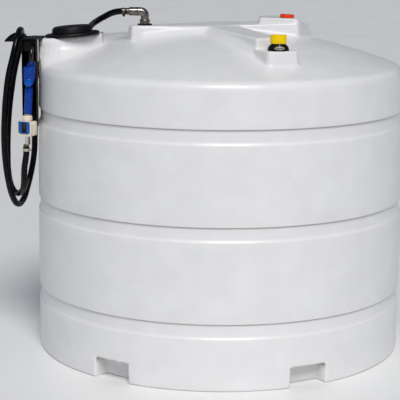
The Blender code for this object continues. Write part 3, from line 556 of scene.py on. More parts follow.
def roof_distance(points):
    # Distance to the whole roof, with all its forms blended in.
    body = whole = body_distance(points)
    for form in ROOF_FORMS:
        one = form_distance(points, form)
        chamfer = (one + body - chamfer_width(points, form)) * math.sqrt(0.5)
        chamfer = soft_most(chamfer, np.hypot(points[:, 0], points[:, 1]) - RIM_RADIUS, RIM_BLEND)
        whole = soft_least(whole, one, FORM_BLEND)
        whole = soft_least(whole, chamfer, FOOT_BLEND)
    start, end = (np.array(end) for end in RIDGE_ENDS)
    along = np.clip((points - start) @ (end - start) / ((end - start) @ (end - start)), 0, 1)
    ridge = np.linalg.norm(points - start - along[:, None] * (end - start), axis=1) - RIDGE_RADIUS
    return soft_least(whole, ridge, RIDGE_BLEND)


def near_walls(faces, reach):
    # Finds the roof's faces that lie near a wall line.
    middles = np.array([face.calc_center_median() for face in faces])
    x, y, z = middles.T
    close = np.zeros(len(middles), bool)
    for form in ROOF_FORMS:
        close |= np.abs(side_distance(x, y, form)) < reach
    rim = np.abs(np.hypot(x, y) - FORM_RADIUS)
    close |= (rim < reach) & (side_distance(x, y, ROOF_FORMS[0]) < reach)
    return close & (z > RIM_Z)


# The mesh is divided finer and finer towards the wall lines.
for reach in (0.07, 0.055, 0.024, 0.01):
    choose(skin, "FACE", lambda faces: near_walls(faces, reach))
    bpy.ops.mesh.subdivide()
    bpy.ops.object.mode_set(mode="OBJECT")

# Each point of the roof is lifted to about its form's top, and then moved onto the finished form.
LIFT_BAND = 0.01
SLOPE_STEP = 0.0002
SMOOTHING_ROUNDS = 3

points = np.array([vertex.co for vertex in skin.data.vertices])
roof = points[:, 2] > RIM_Z + 0.001
lifted = points[roof]
x, y, z = lifted.T
for form in ROOF_FORMS:
    first = form[1][0][0]
    normal = upward(form[1][0])
    top = first[2] - ((x - first[0]) * normal[0] + (y - first[1]) * normal[1]) / normal[2]
    part = np.clip(0.5 - side_distance(x, y, form) / (2 * LIFT_BAND), 0, 1)
    part = part * part * (3 - 2 * part)
    z[:] = np.maximum(z, z + (top - z) * part)


def onto_form(moved, turns):
    # Newton's steps along the slope of the distance.
    for turn in range(turns):
        here = roof_distance(moved)
        slope = np.stack([(roof_distance(moved + SLOPE_STEP * axis) - here) / SLOPE_STEP
                          for axis in np.eye(3)], axis=1)
        moved = moved - slope * (here / np.maximum((slope * slope).sum(axis=1), 0.2))[:, None]
    return moved


points[roof] = onto_form(lifted, 5)
starts, ends = np.array([edge.vertices[:] for edge in skin.data.edges]).T
neighbours = np.bincount(np.concatenate((starts, ends)), minlength=len(points))
for turn in range(SMOOTHING_ROUNDS):
    middles = np.stack([np.bincount(starts, points[ends, axis], len(points))
                        + np.bincount(ends, points[starts, axis], len(points)) for axis in range(3)], axis=1)
    middles /= neighbours[:, None]
    points[roof] = onto_form((points[roof] + middles[roof]) / 2, 1)
points[roof] = onto_form(points[roof], 1)
skin.data.vertices.foreach_set("co", points.ravel())
skin.data.update()

# Rotationally moulded white polyethylene: a soft satin surface with a fine orange peel and faint
# waves. Warm grey painted shade darkens it under the upper edges of the grooves and of the pockets.
GROOVE_SHADE_WIDTH = 0.005
POCKET_SHADE_Z = (0.07, 0.094)
POCKET_SHADE_END = (0.104, 0.11)
POCKET_SHADE_IN = (0.008, 0.003)


def calc(tree, operation, *values):
    # One sum on numbers or sockets.
    return add_node(tree, "Math", dict(enumerate(values)), operation=operation).outputs[0]


def along(tree, axis):
    # The place of a point along one axis of its object, in metres.
    return add_node(tree, "SeparateXYZ", {"Vector": place_in(tree)}).outputs[axis]


white, tree = new_material("moulded_white_polyethylene")
height = along(tree, "Z")
flat = add_node(tree, "CombineXYZ", {"X": along(tree, "X"), "Y": along(tree, "Y")}).outputs["Vector"]
outward = add_node(tree, "VectorMath", {0: flat}, operation="LENGTH").outputs["Value"]
# Painted shade: the skin turns warm grey under the pockets' ceilings and under each groove's upper edge.
inside = ramp(tree, outward, TANK_RADIUS - POCKET_SHADE_IN[0], TANK_RADIUS - POCKET_SHADE_IN[1], 1.0, 0.0)
painted_shade = calc(tree, "MULTIPLY", ramp(tree, height, *POCKET_SHADE_Z, 0.0, 1.0), inside)
painted_shade = calc(tree, "MULTIPLY", painted_shade, ramp(tree, height, *POCKET_SHADE_END, 1.0, 0.0))
for upper, lower in GROOVES:
    away = calc(tree, "ABSOLUTE", calc(tree, "SUBTRACT", height, upper - 0.001))
    painted_shade = calc(tree, "MAXIMUM", ramp(tree, away, 0.0, GROOVE_SHADE_WIDTH, 0.55, 0.0, "SMOOTHSTEP"), painted_shade)
painted_shade = calc(tree, "MULTIPLY", painted_shade, patches(tree, 0.06, 0.55, 0.9))
plastic_white = mixed(tree, patches(tree, 0.12, 0.0, 1.0), "#EBEBEC", "#F1F1F2")
peel = relief(tree, 220.0, 2.0, 0.12, 0.0006)
surface(tree, mixed(tree, painted_shade, plastic_white, "#8C7F6E"), (0.1, 0.3, 0.36),
        {"Subsurface Weight": 0.15, "Subsurface Radius": (0.012, 0.011, 0.01), "Subsurface Scale": 1.0,
         "Normal": relief(tree, 7.0, 1.0, 0.05, 0.006, Normal=peel)})
skin.data.materials.append(white)
skin.data.polygons.foreach_set("use_smooth", [True] * len(skin.data.polygons))
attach(skin, "root")
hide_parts("tank_wall", "tank_floor", "tank_roof", "skirt_front", "skirt_right", "skirt_back",
            "skirt_left")

# Lid flange: a flat moulded ring of black polypropylene, screwed on the equipment platform, that
# takes the lid's thread. It lies on the platform's slight slope.
LID_CENTRE = (-0.717, -0.115)
LID_LEAN = -4.8
LID_SEAT = 1.5305
FLANGE_PROFILE = (
    (0.082, 0.004), (0.085, 0.015), (0.1255, 0.015), (0.1285, 0.0138), (0.1303, 0.0112), (0.131, 0.008),
    (0.131, 0.002), (0.1295, 0.0))


def transformed(target, axis, degrees, place=(0, 0, 0)):
    # Turns a whole piece about an axis through the origin, and then moves it.
    take(target)
    bpy.ops.object.mode_set(mode="EDIT")
    bpy.ops.mesh.select_all(action="SELECT")
    bpy.ops.transform.rotate(value=-math.radians(degrees), orient_axis=axis, center_override=(0, 0, 0))
    bpy.ops.transform.translate(value=place)
    bpy.ops.object.mode_set(mode="OBJECT")


def moulded(name, dark, light, low, high, grain=0.0002, shine=0.5):
    # Moulded plastic: two close tones in soft patches, uneven gloss, and a fine grain in the skin.
    made, tree = new_material(name)
    surface(tree, mixed(tree, patches(tree, 0.03, 0.0, 1.0), dark, light), (0.012, low, high),
            {"Specular IOR Level": shine, "Normal": relief(tree, 900.0, 2.0, 0.2, grain)})
    return made


def finished(target, cad_node, material, sharp=30):
    # Smooths a piece but for edges sharper than an angle, and hands it over for its CAD node.
    take(target)
    bpy.ops.object.shade_smooth_by_angle(angle=math.radians(sharp))
    target.data.materials.clear()
    target.data.materials.append(material)
    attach(target, "root")
    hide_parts(cad_node)


black_polypropylene = moulded("black_polypropylene", "#050506", "#0B0B0C", 0.42, 0.58, 0.0003, 0.3)
flange = turned("lid_flange_ring", FLANGE_PROFILE, 96)
transformed(flange, "Y", LID_LEAN, (*LID_CENTRE, LID_SEAT))
finished(flange, "lid_flange", black_polypropylene)

# Inspection lid: a screwed black lid with a rounded top edge, a shallow dished top and twelve low
# grips round its side, moulded of the same polypropylene.
LID_COLUMNS = 96
LID_PROFILE = (
    (0.07, 0.0455), (0.0735, 0.047), (0.0815, 0.0475), (0.086, 0.0465), (0.0895, 0.0437), (0.092, 0.04),
    (0.0935, 0.036), (0.096, 0.019), (0.0962, 0.016))
LID_GRIP_HEIGHTS = (0.018, 0.04)
GRIP_LIFT = 1.019


def choose_columns(target, centre, columns, heights, every, wanted):
    # Opens a turned piece with some columns of its faces chosen, between two heights.
    def test(face):
        middle = face.calc_center_median()
        turn = math.degrees(math.atan2(middle.y - centre[1], middle.x - centre[0])) % 360
        return heights[0] < middle.z < heights[1] and int(turn * columns / 360) % every in wanted

    choose(target, "FACE", lambda faces: [test(face) for face in faces])


lid = turned("inspection_lid_cover", LID_PROFILE, LID_COLUMNS)
choose_columns(lid, (0, 0), LID_COLUMNS, LID_GRIP_HEIGHTS, 8, (0, 1, 2))
drawn((0, 0, 0), (GRIP_LIFT, GRIP_LIFT, 1.0), (0, 0, 0.03))
bpy.ops.object.mode_set(mode="OBJECT")
transformed(lid, "Y", LID_LEAN, (*LID_CENTRE, LID_SEAT))
finished(lid, "inspection_lid", black_polypropylene)

# Outlet washer: a flat washer punched from black rubber sheet, pressed between the outlet's nut and
# the plateau, which it seals.
OUTLET_CENTRE = (-0.366, -0.14)
WASHER_PROFILE = ((0.03, 1.592), (0.034, 1.592), (0.035, 1.591), (0.035, 1.5873), (0.0342, 1.5864))

washer = turned("outlet_washer_ring", WASHER_PROFILE, 64, OUTLET_CENTRE)
washer_rubber = moulded("washer_rubber", "#060607", "#101012", 0.55, 0.7, 0.0004, 0.3)
finished(washer, "outlet_washer", washer_rubber)

# Outlet nut: a thin hexagon nut of stainless steel with chamfered corners, screwed down on the
# washer.
NUT_WIDTH = 0.0265
NUT_TOP = NUT_WIDTH * 0.86
NUT_PROFILE = ((NUT_TOP, 1.6052), (NUT_WIDTH, 1.6032), (NUT_WIDTH, 1.5943), (NUT_TOP, 1.5923))
NUT_CORNER = 0.0012


def span(edge, axis):
    # How far an edge runs along X, Y or Z, given as 0, 1 or 2.
    return abs(edge.verts[0].co[axis] - edge.verts[1].co[axis])


def metal(name, dark, light, low, high, stretch=(1.0, 1.0, 1.0)):
    # Metal with fine drawn lines along the stretched direction and dull handled patches.
    made, tree = new_material(name)
    lines = add_node(tree, "Mapping", {"Vector": place_in(tree), "Scale": stretch}).outputs["Vector"]
    surface(tree, mixed(tree, patches(tree, 0.012, 0.0, 1.0), dark, light), (0.006, low, high),
            {"Metallic": 1.0, "Normal": relief(tree, 700.0, 3.0, 0.15, 0.0002, lines)})
    return made


nut = turned("outlet_hex_nut", NUT_PROFILE, 6, OUTLET_CENTRE)
bevel_edges(nut, lambda edge: span(edge, 2) > 0.007, NUT_CORNER, 2)
cast_steel = metal("polished_stainless_steel", "#6E6862", "#A8A29A", 0.24, 0.4)
finished(nut, "outlet_nut", cast_steel)

# Outlet elbow: a pipe elbow with a thick bead at its foot and at its end, cast of stainless steel and
# screwed into the nut. A ring is drawn up, swung round the bend and drawn out towards the hose.
ELBOW_FOOT_Z = 1.6055
PIPE_Z = 1.651
BEND_RADIUS = 0.0206
PIPE_RADIUS = 0.02
BEAD_RADIUS = 0.025
BEAD_STEPS = ((1.02, 0.0012), (1.0, 0.0035), (0.97, 0.0012),
              (PIPE_RADIUS / (BEAD_RADIUS * 1.02 * 0.97), 0.0012))
END_STEPS = ((1.0, 0.01), (BEAD_RADIUS * 0.85 / PIPE_RADIUS, 0.0008), (1.0, 0.0022))
BEND_STEPS = 14

outlet_x, outlet_y = OUTLET_CENTRE
bend_z = PIPE_Z - BEND_RADIUS
straight = bend_z - ELBOW_FOOT_Z - sum(rise for change, rise in BEAD_STEPS)
elbow = filled("outlet_elbow_casting", 40, BEAD_RADIUS, (outlet_x, outlet_y, ELBOW_FOOT_Z))
height = ELBOW_FOOT_Z
for change, rise in (*BEAD_STEPS, (1.0, straight)):
    height += rise
    drawn((0, 0, rise), (change,) * 3, (outlet_x, outlet_y, height))
bpy.ops.mesh.spin(steps=BEND_STEPS, angle=math.pi / 2, center=(outlet_x - BEND_RADIUS, outlet_y, bend_z),
                  axis=(0, 1, 0))
reach = outlet_x - BEND_RADIUS
for change, out in END_STEPS:
    reach -= out
    drawn((-out, 0, 0), (change,) * 3, (reach, outlet_y, PIPE_Z))
close_up(weld=True)
finished(elbow, "outlet_elbow", cast_steel, 40)

# Hose coupling: a sleeve turned of stainless steel, with a raised ring at each end, screwed on the
# elbow. It is polished, and its underside is painted brown as a painted reflection of the ground.
COUPLING_START = -0.4003
COUPLING_PROFILE = (
    (0.019, 0.0), (0.021, 0.0012), (0.0215, 0.0028), (0.0215, 0.0052), (0.0202, 0.0066), (0.0202, 0.032),
    (0.0213, 0.0334), (0.0213, 0.0372), (0.02, 0.039), (0.0185, 0.0396))

coupling = turned("hose_coupling_sleeve", COUPLING_PROFILE, 48)
transformed(coupling, "Y", -90, (COUPLING_START, outlet_y, PIPE_Z))
coupling_reflection_steel, tree = new_material("steel_with_painted_ground_reflection")
# Painted reflection: the underside is tinted brown, as the ground would show in polished steel.
painted_ground_reflection = calc(tree, "MULTIPLY", ramp(tree, along(tree, "Z"), PIPE_Z - 0.018, PIPE_Z - 0.004, 0.8, 0.0),
             patches(tree, 0.01, 0.5, 1.0))
surface(tree, mixed(tree, painted_ground_reflection, "#85827E", "#6E5840"), (0.006, 0.1, 0.22), {"Metallic": 1.0})
finished(coupling, "hose_coupling", coupling_reflection_steel, 25)

# Hose tail: the short neck of the coupling, turned with a groove from the same steel, that the hose
# is pushed on.
TAIL_START = -0.4403
TAIL_PROFILE = (
    (0.015, 0.0), (0.0172, 0.001), (0.0172, 0.004), (0.016, 0.005), (0.016, 0.007), (0.0175, 0.008),
    (0.0175, 0.011), (0.015, 0.0118))

tail = turned("hose_tail_neck", TAIL_PROFILE, 48)
transformed(tail, "Y", -90, (TAIL_START, outlet_y, PIPE_Z))
dull_steel = metal("dull_stainless_steel", "#5E564E", "#857B70", 0.28, 0.42)
finished(tail, "hose_tail", dull_steel, 25)

# Outlet clamp: a worm-drive clamp, a thin steel band with raised edges round the hose, and under it
# the housing with the screw and its slotted hexagon head.
CLAMP_INNER = 0.0156
CLAMP_OUTER = CLAMP_INNER + 0.0012
CLAMP_EDGE = CLAMP_INNER + 0.0018
BAND_HALF = 0.007
BAND_PROFILE = ((CLAMP_INNER, BAND_HALF), (CLAMP_EDGE, BAND_HALF), (CLAMP_EDGE, BAND_HALF - 0.0016),
                (CLAMP_OUTER, BAND_HALF - 0.0024), (CLAMP_OUTER, -BAND_HALF + 0.0024),
                (CLAMP_EDGE, -BAND_HALF + 0.0016), (CLAMP_EDGE, -BAND_HALF), (CLAMP_INNER, -BAND_HALF))
SCREW_PROFILE = (
    (0.003, 0.0122), (0.004, 0.0118), (0.004, 0.008), (0.0028, 0.008), (0.0028, -0.0105), (0.0022, -0.0112))
SCREW_OUT = 0.0042
OUTLET_CLAMP_X = -0.467


def boxed(name, low, high):
    # A box between its lowest and its highest corner.
    deselect()
    bpy.ops.mesh.primitive_cube_add(size=1, location=[(a + b) / 2 for a, b in zip(low, high)])
    made = bpy.context.object
    made.name = name
    made.scale = [b - a for a, b in zip(low, high)]
    bpy.ops.object.transform_apply()
    return made


def joined(name, pieces):
    # Makes one object of several.
    take(pieces[0])
    for piece in pieces:
        piece.select_set(True)
    bpy.ops.object.join()
    pieces[0].name = name
    return pieces[0]


def clamp(name):
    # The clamp stands upright round the Z axis, with its housing towards -Y.
    y = -CLAMP_OUTER
    band = turned(name, BAND_PROFILE, 64)
    choose(band, "FACE", lambda faces: [len(face.verts) > 4 for face in faces])
    bpy.ops.mesh.bridge_edge_loops()
    bpy.ops.object.mode_set(mode="OBJECT")
    housing = boxed(name + "_housing", (-0.007, y - 0.0085, -0.0062), (0.007, y + 0.0005, 0.0062))
    bevel_edges(housing, lambda side: True, 0.0018, 3)
    screw = turned(name + "_screw", SCREW_PROFILE, 6)
    transformed(screw, "Y", 90, (0, y - SCREW_OUT, 0))
    cut(screw, boxed(name + "_slot", (0.0112, y - 0.009, -0.0005), (0.0135, y + 0.0005, 0.0005)))
    strap = boxed(name + "_strap", (-0.0135, y - 0.0016, -0.0055), (-0.006, y - 0.0004, 0.0055))
    return joined(name, [band, housing, screw, strap])


outlet_clamp = clamp("outlet_worm_clamp")
transformed(outlet_clamp, "Y", 90)
transformed(outlet_clamp, "X", 90, (OUTLET_CLAMP_X, outlet_y, PIPE_Z))
clamp_steel = metal("clamp_band_steel", "#4E4B48", "#74706B", 0.26, 0.4, (1.0, 1.0, 0.1))
finished(outlet_clamp, "outlet_clamp", clamp_steel)

# Nozzle bracket: a channel folded of 4 mm steel sheet, open to the front, whose top plate reaches
# over the platform. It is powder coated black, with painted light in brown grey on the right lip's front.
CHANNEL_PLAN = (
    (-0.947, -0.25), (-0.943, -0.25), (-0.943, -0.07), (-0.9105, -0.07), (-0.873, -0.246), (-0.881, -0.246),
    (-0.881, -0.25), (-0.869, -0.25), (-0.9065, -0.066), (-0.947, -0.066))
CHANNEL_HEIGHTS = (1.108, 1.5237)
CHANNEL_CORNER = 0.0018
PLATE_PLAN = ((-0.947, -0.25), (-0.8505, -0.25), (-0.8505, -0.066), (-0.919, -0.066))
PLATE_HEIGHTS = (1.5217, 1.5257)
PLATE_CORNER = 0.0014


def outlined(name, outline, move):
    # A flat outline given by its points, drawn out into a solid.
    made = filled(name, len(outline), 0.01, (0, 0, 0), outline)
    bpy.ops.mesh.extrude_region_move(TRANSFORM_OT_translate={"value": move})
    close_up()
    return made


def upright(name, plan, heights):
    # A solid over a plan between two heights.
    low, high = heights
    return outlined(name, [(x, y, low) for x, y in plan], (0, 0, high - low))


channel = upright("bracket_channel", CHANNEL_PLAN, CHANNEL_HEIGHTS)
bevel_edges(channel, lambda edge: span(edge, 2) > 0.3, CHANNEL_CORNER, 3)
plate = upright("bracket_plate", PLATE_PLAN, PLATE_HEIGHTS)
bevel_edges(plate, lambda edge: True, PLATE_CORNER, 3)
bracket = joined("nozzle_bracket_channel", [channel, plate])
powder, tree = new_material("black_powder_coat")
# Painted light: the front face of the right lip is lightened to brown grey, as where light falls on it.
lip = ramp(tree, along(tree, "X"), -0.881, -0.875, 0.0, 1.0, "SMOOTHSTEP")
front = ramp(tree, along(tree, "Y"), -0.249, -0.245, 1.0, 0.0)
lit_lip_paint = calc(tree, "MULTIPLY", calc(tree, "MULTIPLY", lip, front), patches(tree, 0.04, 0.25, 1.0))
surface(tree, mixed(tree, lit_lip_paint, "#030304", "#3C362E"), (0.02, 0.34, 0.48),
        {"Specular IOR Level": 0.22, "Normal": relief(tree, 500.0, 2.0, 0.3, 0.0003)})
finished(bracket, "nozzle_bracket", powder)

# Hose saddle: an arched strip of steel sheet that the hose lies on, flared outwards at its ends and
# with a rolled outer edge, and a plate behind it against the bracket, coated like the bracket.
SADDLE_MIDDLE = (-0.1, 1.435)
SADDLE_RADIUS = 0.1015
SADDLE_HALF_ANGLE = math.radians(46)
SADDLE_INNER_X = -0.9473
SADDLE_OUTER_X = -0.99
SADDLE_FLARE = 0.044
SADDLE_SHEET = 0.0035
EDGE_RADIUS = 0.0055
SADDLE_BACK = ((-0.9513, -0.16, 1.385), (-0.9473, -0.07, 1.5165))


def bent_rod(name, route, radius, roundness):
    # A round bar along a smooth line of points, as a mesh.
    made = rod_curve(name, route, radius, roundness, 8)
    take(made)
    bpy.ops.object.convert(target="MESH")
    bpy.ops.object.mode_set(mode="EDIT")
    close_up(weld=True)
    return bpy.context.object


def on_saddle(x, turn):
    # The point of the arch at a turn from its top.
    y, z = SADDLE_MIDDLE
    return x, y + SADDLE_RADIUS * math.sin(turn), z + SADDLE_RADIUS * math.cos(turn)


deselect()
bpy.ops.mesh.primitive_grid_add(x_subdivisions=6, y_subdivisions=40, size=1, location=(0, 0, 0))
saddle = bpy.context.object
saddle.name = "hose_saddle_strip"
for vertex in saddle.data.vertices:
    across = vertex.co.x + 0.5
    turn = 2 * SADDLE_HALF_ANGLE * vertex.co.y
    flared = SADDLE_FLARE * abs(turn) / SADDLE_HALF_ANGLE * max(0.0, across - 0.25) / 0.75
    vertex.co = on_saddle(SADDLE_INNER_X + (SADDLE_OUTER_X - SADDLE_INNER_X) * across - flared, turn)
sheet = saddle.modifiers.new("sheet", "SOLIDIFY")
sheet.thickness = SADDLE_SHEET
sheet.offset = 1.0
bpy.ops.object.modifier_apply(modifier=sheet.name)
bpy.ops.object.mode_set(mode="EDIT")
close_up()
back = boxed("saddle_back", *SADDLE_BACK)
bevel_edges(back, lambda edge: True, 0.0012, 2)
edge_line = [on_saddle(SADDLE_OUTER_X - SADDLE_FLARE * abs(part), SADDLE_HALF_ANGLE * part)
             for part in np.linspace(-1, 1, 9)]
rolled = bent_rod("saddle_edge", edge_line, EDGE_RADIUS, 4)
saddle = joined("hose_saddle_strip", [saddle, back, rolled])
finished(saddle, "hose_saddle", powder)

# Spout holder: a plate across the inside of the bracket with the hole that the nozzle's spout rests
# in, made of the same coated sheet.
HOLDER_BOX = ((-0.9427, -0.233, 1.464), (-0.8785, -0.229, 1.5214))
HOLDER_HOLE = (-0.896, -0.231, 1.49)
HOLE_RADIUS = 0.0103


def is_sharp(edge):
    return edge.calc_face_angle(0.0) > 1.2


holder = boxed("spout_holder_plate", *HOLDER_BOX)
deselect()
bpy.ops.mesh.primitive_cylinder_add(vertices=40, radius=HOLE_RADIUS, depth=0.04, location=HOLDER_HOLE,
                                    rotation=(math.pi / 2, 0, 0))
cut(holder, bpy.context.object)
bevel_edges(holder, is_sharp, 0.0006, 2)
finished(holder, "spout_holder", powder)

# Nozzle spout: a bent tube of black plastic, clamped in the collar, that goes up from it and over
# into its holder.
SPOUT_RADIUS = 0.0095
SPOUT_ROUTE = (
    (-0.8955, -0.288, 1.418), (-0.8955, -0.288, 1.44), (-0.895, -0.284, 1.46), (-0.8945, -0.272, 1.478),
    (-0.895, -0.252, 1.488), (-0.896, -0.231, 1.49), (-0.8975, -0.205, 1.488), (-0.899, -0.18, 1.482))

spout = bent_rod("nozzle_spout_tube", SPOUT_ROUTE, SPOUT_RADIUS, 6)
spout_plastic = moulded("black_spout_plastic", "#070709", "#0E0E11", 0.22, 0.32, 0.0001, 0.6)
finished(spout, "nozzle_spout", spout_plastic)

# Nozzle collar: a domed knob of blue plastic with shallow grips round it. It is screwed on the body
# and holds the spout.
COLLAR_CENTRE = (-0.8955, -0.288)
COLLAR_COLUMNS = 48
COLLAR_PROFILE = (
    (0.01, 1.4202), (0.0125, 1.42), (0.016, 1.418), (0.0186, 1.414), (0.0199, 1.409), (0.0203, 1.405),
    (0.0203, 1.399), (0.0195, 1.3965))
COLLAR_GRIP_HEIGHTS = (1.399, 1.412)


def sunk(rim, depth):
    # Sinks the chosen faces inside a rim, and ends the editing.
    bpy.ops.mesh.inset(thickness=rim, depth=-depth)
    bpy.ops.object.mode_set(mode="OBJECT")


knob = turned("nozzle_knob", COLLAR_PROFILE, COLLAR_COLUMNS, COLLAR_CENTRE)
choose_columns(knob, COLLAR_CENTRE, COLLAR_COLUMNS, COLLAR_GRIP_HEIGHTS, 4, (0,))
sunk(0.0004, 0.0006)
deep_blue = moulded("deep_blue_plastic", "#00246C", "#002C7C", 0.22, 0.3, 0.0001, 0.25)
finished(knob, "nozzle_collar", deep_blue)

# Nozzle body: a glossy blue plastic moulding, widest above, that narrows to a round lower end. A bare,
# slightly sunk panel lies in its front.
BODY_OUTLINE = (
    (-0.929, 1.3962), (-0.8775, 1.3962), (-0.877, 1.37), (-0.879, 1.345), (-0.8835, 1.324), (-0.8905, 1.31),
    (-0.899, 1.303), (-0.9085, 1.301), (-0.918, 1.3035), (-0.925, 1.311), (-0.929, 1.324), (-0.93, 1.342),
    (-0.9298, 1.37))
BODY_FRONT = -0.315
BODY_BACK = -0.263
BODY_ROUNDING = 0.0055
PANEL_BOX = ((-0.9245, -0.319, 1.352), (-0.8815, -0.3142, 1.389))
PANEL_CORNER = 0.004

body = outlined("nozzle_housing", [(x, BODY_FRONT, z) for x, z in BODY_OUTLINE],
                (0, BODY_BACK - BODY_FRONT, 0))
bevel_edges(body, lambda edge: span(edge, 1) < 0.001, BODY_ROUNDING, 4)
panel = boxed("panel_cut", *PANEL_BOX)
bevel_edges(panel, lambda edge: span(edge, 1) > 0.002, PANEL_CORNER, 4)
cut(body, panel)
gloss_blue = moulded("gloss_blue_plastic", "#00348E", "#003C9C", 0.1, 0.16, 0.0001, 0.25)
finished(body, "nozzle_body", gloss_blue)

# Nozzle disc: a round cover with a low dome, moulded of a lighter blue plastic and pressed on the
# front of the body.
DISC_PROFILE = (
    (0.004, 0.004), (0.009, 0.0037), (0.014, 0.0029), (0.0172, 0.0018), (0.0186, 0.0007), (0.0188, 0.0))
DISC_PLACE = (-0.9075, -0.3153, 1.322)

disc = turned("nozzle_cover_disc", DISC_PROFILE, 64)
transformed(disc, "X", 90, DISC_PLACE)
light_blue = moulded("light_blue_plastic", "#0048A8", "#0054B8", 0.1, 0.16, 0.0001, 0.3)
finished(disc, "nozzle_disc", light_blue, 40)

# Nozzle grip: a smooth, slightly waisted handle under the body, moulded of the same blue plastic,
# with a dark joint at its top.
GRIP_PROFILE = (
    (0.015, 0.1285), (0.0165, 0.1282), (0.0168, 0.1245), (0.015, 0.1238), (0.015, 0.1222), (0.0176, 0.1214),
    (0.0185, 0.118), (0.0184, 0.09), (0.0186, 0.05), (0.0192, 0.012), (0.019, 0.004), (0.018, 0.0))
GRIP_FOOT = (-0.9155, -0.288, 1.1724)
GRIP_LEAN = 3.3

grip = turned("nozzle_handle", GRIP_PROFILE, 56)
transformed(grip, "Y", GRIP_LEAN, GRIP_FOOT)
finished(grip, "nozzle_grip", gloss_blue, 40)

# Nozzle lever: a bent trigger of black plastic, hung on a pin in the body, that stands behind the
# grip.
LEVER_RADIUS = 0.0045
LEVER_ROUTE = (
    (-0.9085, -0.258, 1.326), (-0.909, -0.248, 1.3), (-0.9105, -0.243, 1.26), (-0.9125, -0.246, 1.215),
    (-0.914, -0.259, 1.183))

lever = bent_rod("nozzle_trigger", LEVER_ROUTE, LEVER_RADIUS, 5)
finished(lever, "nozzle_lever", spout_plastic)

# Swivel: a ring with a groove, turned of bright stainless steel, that joins the grip to the meter's
# collar and turns between them.
SWIVEL_CENTRE = (-0.9165, -0.288)
SWIVEL_PROFILE = (
    (0.014, 1.1717), (0.016, 1.1713), (0.0165, 1.1705), (0.0165, 1.1692), (0.015, 1.1686), (0.015, 1.1676),
    (0.0165, 1.167), (0.0165, 1.165), (0.0155, 1.1643))

swivel = turned("nozzle_swivel_ring", SWIVEL_PROFILE, 56, SWIVEL_CENTRE)
bright_steel = metal("bright_stainless_steel", "#BDB6AC", "#DAD4CB", 0.12, 0.22)
finished(swivel, "nozzle_swivel", bright_steel, 25)

# Meter body: a cream nylon moulding in two parts, a rounded square housing for the display in front
# and a rounded flow chamber behind it, with a narrow waist and three ribs between them.
METER_CENTRE = (-0.9185, -0.288, 1.102)
METER_TURN = -25
FRONT_BOX = ((-0.04, -0.033, -0.036), (0.0375, -0.013, 0.038))
WAIST_BOX = ((-0.03, -0.0135, -0.032), (0.03, -0.0045, 0.032))
CHAMBER_BOX = ((-0.0345, -0.005, -0.037), (0.0345, 0.033, 0.033))


def rounded_box(name, box, corner, rim):
    # A box along Y with rounded corners and then softer rims.
    made = boxed(name, *box)
    bevel_edges(made, lambda edge: span(edge, 1) > 0.01, corner, 5)
    bevel_edges(made, is_sharp, rim, 3)
    return made


pieces = [rounded_box("meter_front", FRONT_BOX, 0.012, 0.003), boxed("meter_waist", *WAIST_BOX),
          rounded_box("meter_chamber", CHAMBER_BOX, 0.01, 0.0045)]
for height in (-0.018, 0.0, 0.018):
    pieces.append(boxed("meter_rib", (-0.0335, -0.014, height - 0.0015), (0.0335, -0.004, height + 0.0015)))
meter = joined("meter_housing", pieces)
transformed(meter, "Z", METER_TURN, METER_CENTRE)
cream = moulded("cream_nylon", "#E6DBC4", "#F3E9D6", 0.3, 0.42)
finished(meter, "meter_body", cream)

# Meter panel: a thin, plain sheet of blue plastic with two cut lower corners, glued on the front of
# the housing.
PANEL_OUTLINE = (
    (-0.0275, 0.0355), (-0.029, 0.034), (-0.029, -0.016), (-0.0215, -0.0235), (0.0265, -0.0235),
    (0.034, -0.016), (0.034, 0.034), (0.0325, 0.0355))
PANEL_BACK = -0.0333
PANEL_SHEET = 0.0022

facing = outlined("meter_facing", [(x, PANEL_BACK, z) for x, z in PANEL_OUTLINE], (0, -PANEL_SHEET, 0))
bevel_edges(facing, is_sharp, 0.0006, 2)
transformed(facing, "Z", METER_TURN, METER_CENTRE)
facing_blue = moulded("blue_facing_sheet", "#0054AC", "#1064BC", 0.26, 0.36, 0.0001, 0.35)
finished(facing, "meter_frame", facing_blue)

# Meter display: a dark glass window in a narrow black rim, set in the facing, with the faint grid of
# a dead display.
WINDOW_BOX = ((-0.011, -0.0373, -0.016), (0.0175, -0.0358, 0.031))

window = boxed("meter_window", *WINDOW_BOX)
bevel_edges(window, lambda edge: span(edge, 1) > 0.001, 0.0015, 3)
choose(window, "FACE", lambda faces: [face.normal.y < -0.9 for face in faces])
sunk(0.0018, 0.0004)
transformed(window, "Z", METER_TURN, METER_CENTRE)
glass, tree = new_material("dark_display_glass")
rows = add_node(tree, "TexWave", {"Vector": place_in(tree), "Scale": 180.0, "Distortion": 0.0},
                wave_type="BANDS", bands_direction="Z").outputs["Fac"]
surface(tree, mixed(tree, rows, "#070A0A", "#0D1312"), (0.01, 0.06, 0.14))
finished(window, "meter_display", glass)

# Meter collar: a union nut of the same cream plastic, with rounded shoulders and shallow flats, that
# is screwed on the meter's upper end.
UNION_COLUMNS = 56
UNION_PROFILE = (
    (0.0165, 1.164), (0.0195, 1.1634), (0.022, 1.1615), (0.0233, 1.1585), (0.0235, 1.155), (0.0235, 1.144),
    (0.0228, 1.1404))
UNION_FLAT_HEIGHTS = (1.144, 1.156)

union = turned("meter_union_nut", UNION_PROFILE, UNION_COLUMNS, METER_CENTRE[:2])
choose_columns(union, METER_CENTRE, UNION_COLUMNS, UNION_FLAT_HEIGHTS, 4, (1,))
sunk(0.0004, 0.0007)
finished(union, "meter_collar", cream)

# Meter nipple: an adapter with a hexagon in its middle, turned of stainless steel and screwed into
# the meter from below. Its right side is painted brown gold, a painted reflection.
NIPPLE_PROFILE = (
    (0.011, 1.0637), (0.0124, 1.063), (0.0124, 1.033), (0.013, 1.0322), (0.013, 1.0252), (0.0118, 1.024))
HEXAGON_PROFILE = ((0.0124, 1.057), (0.013, 1.0562), (0.013, 1.0478), (0.0124, 1.047))

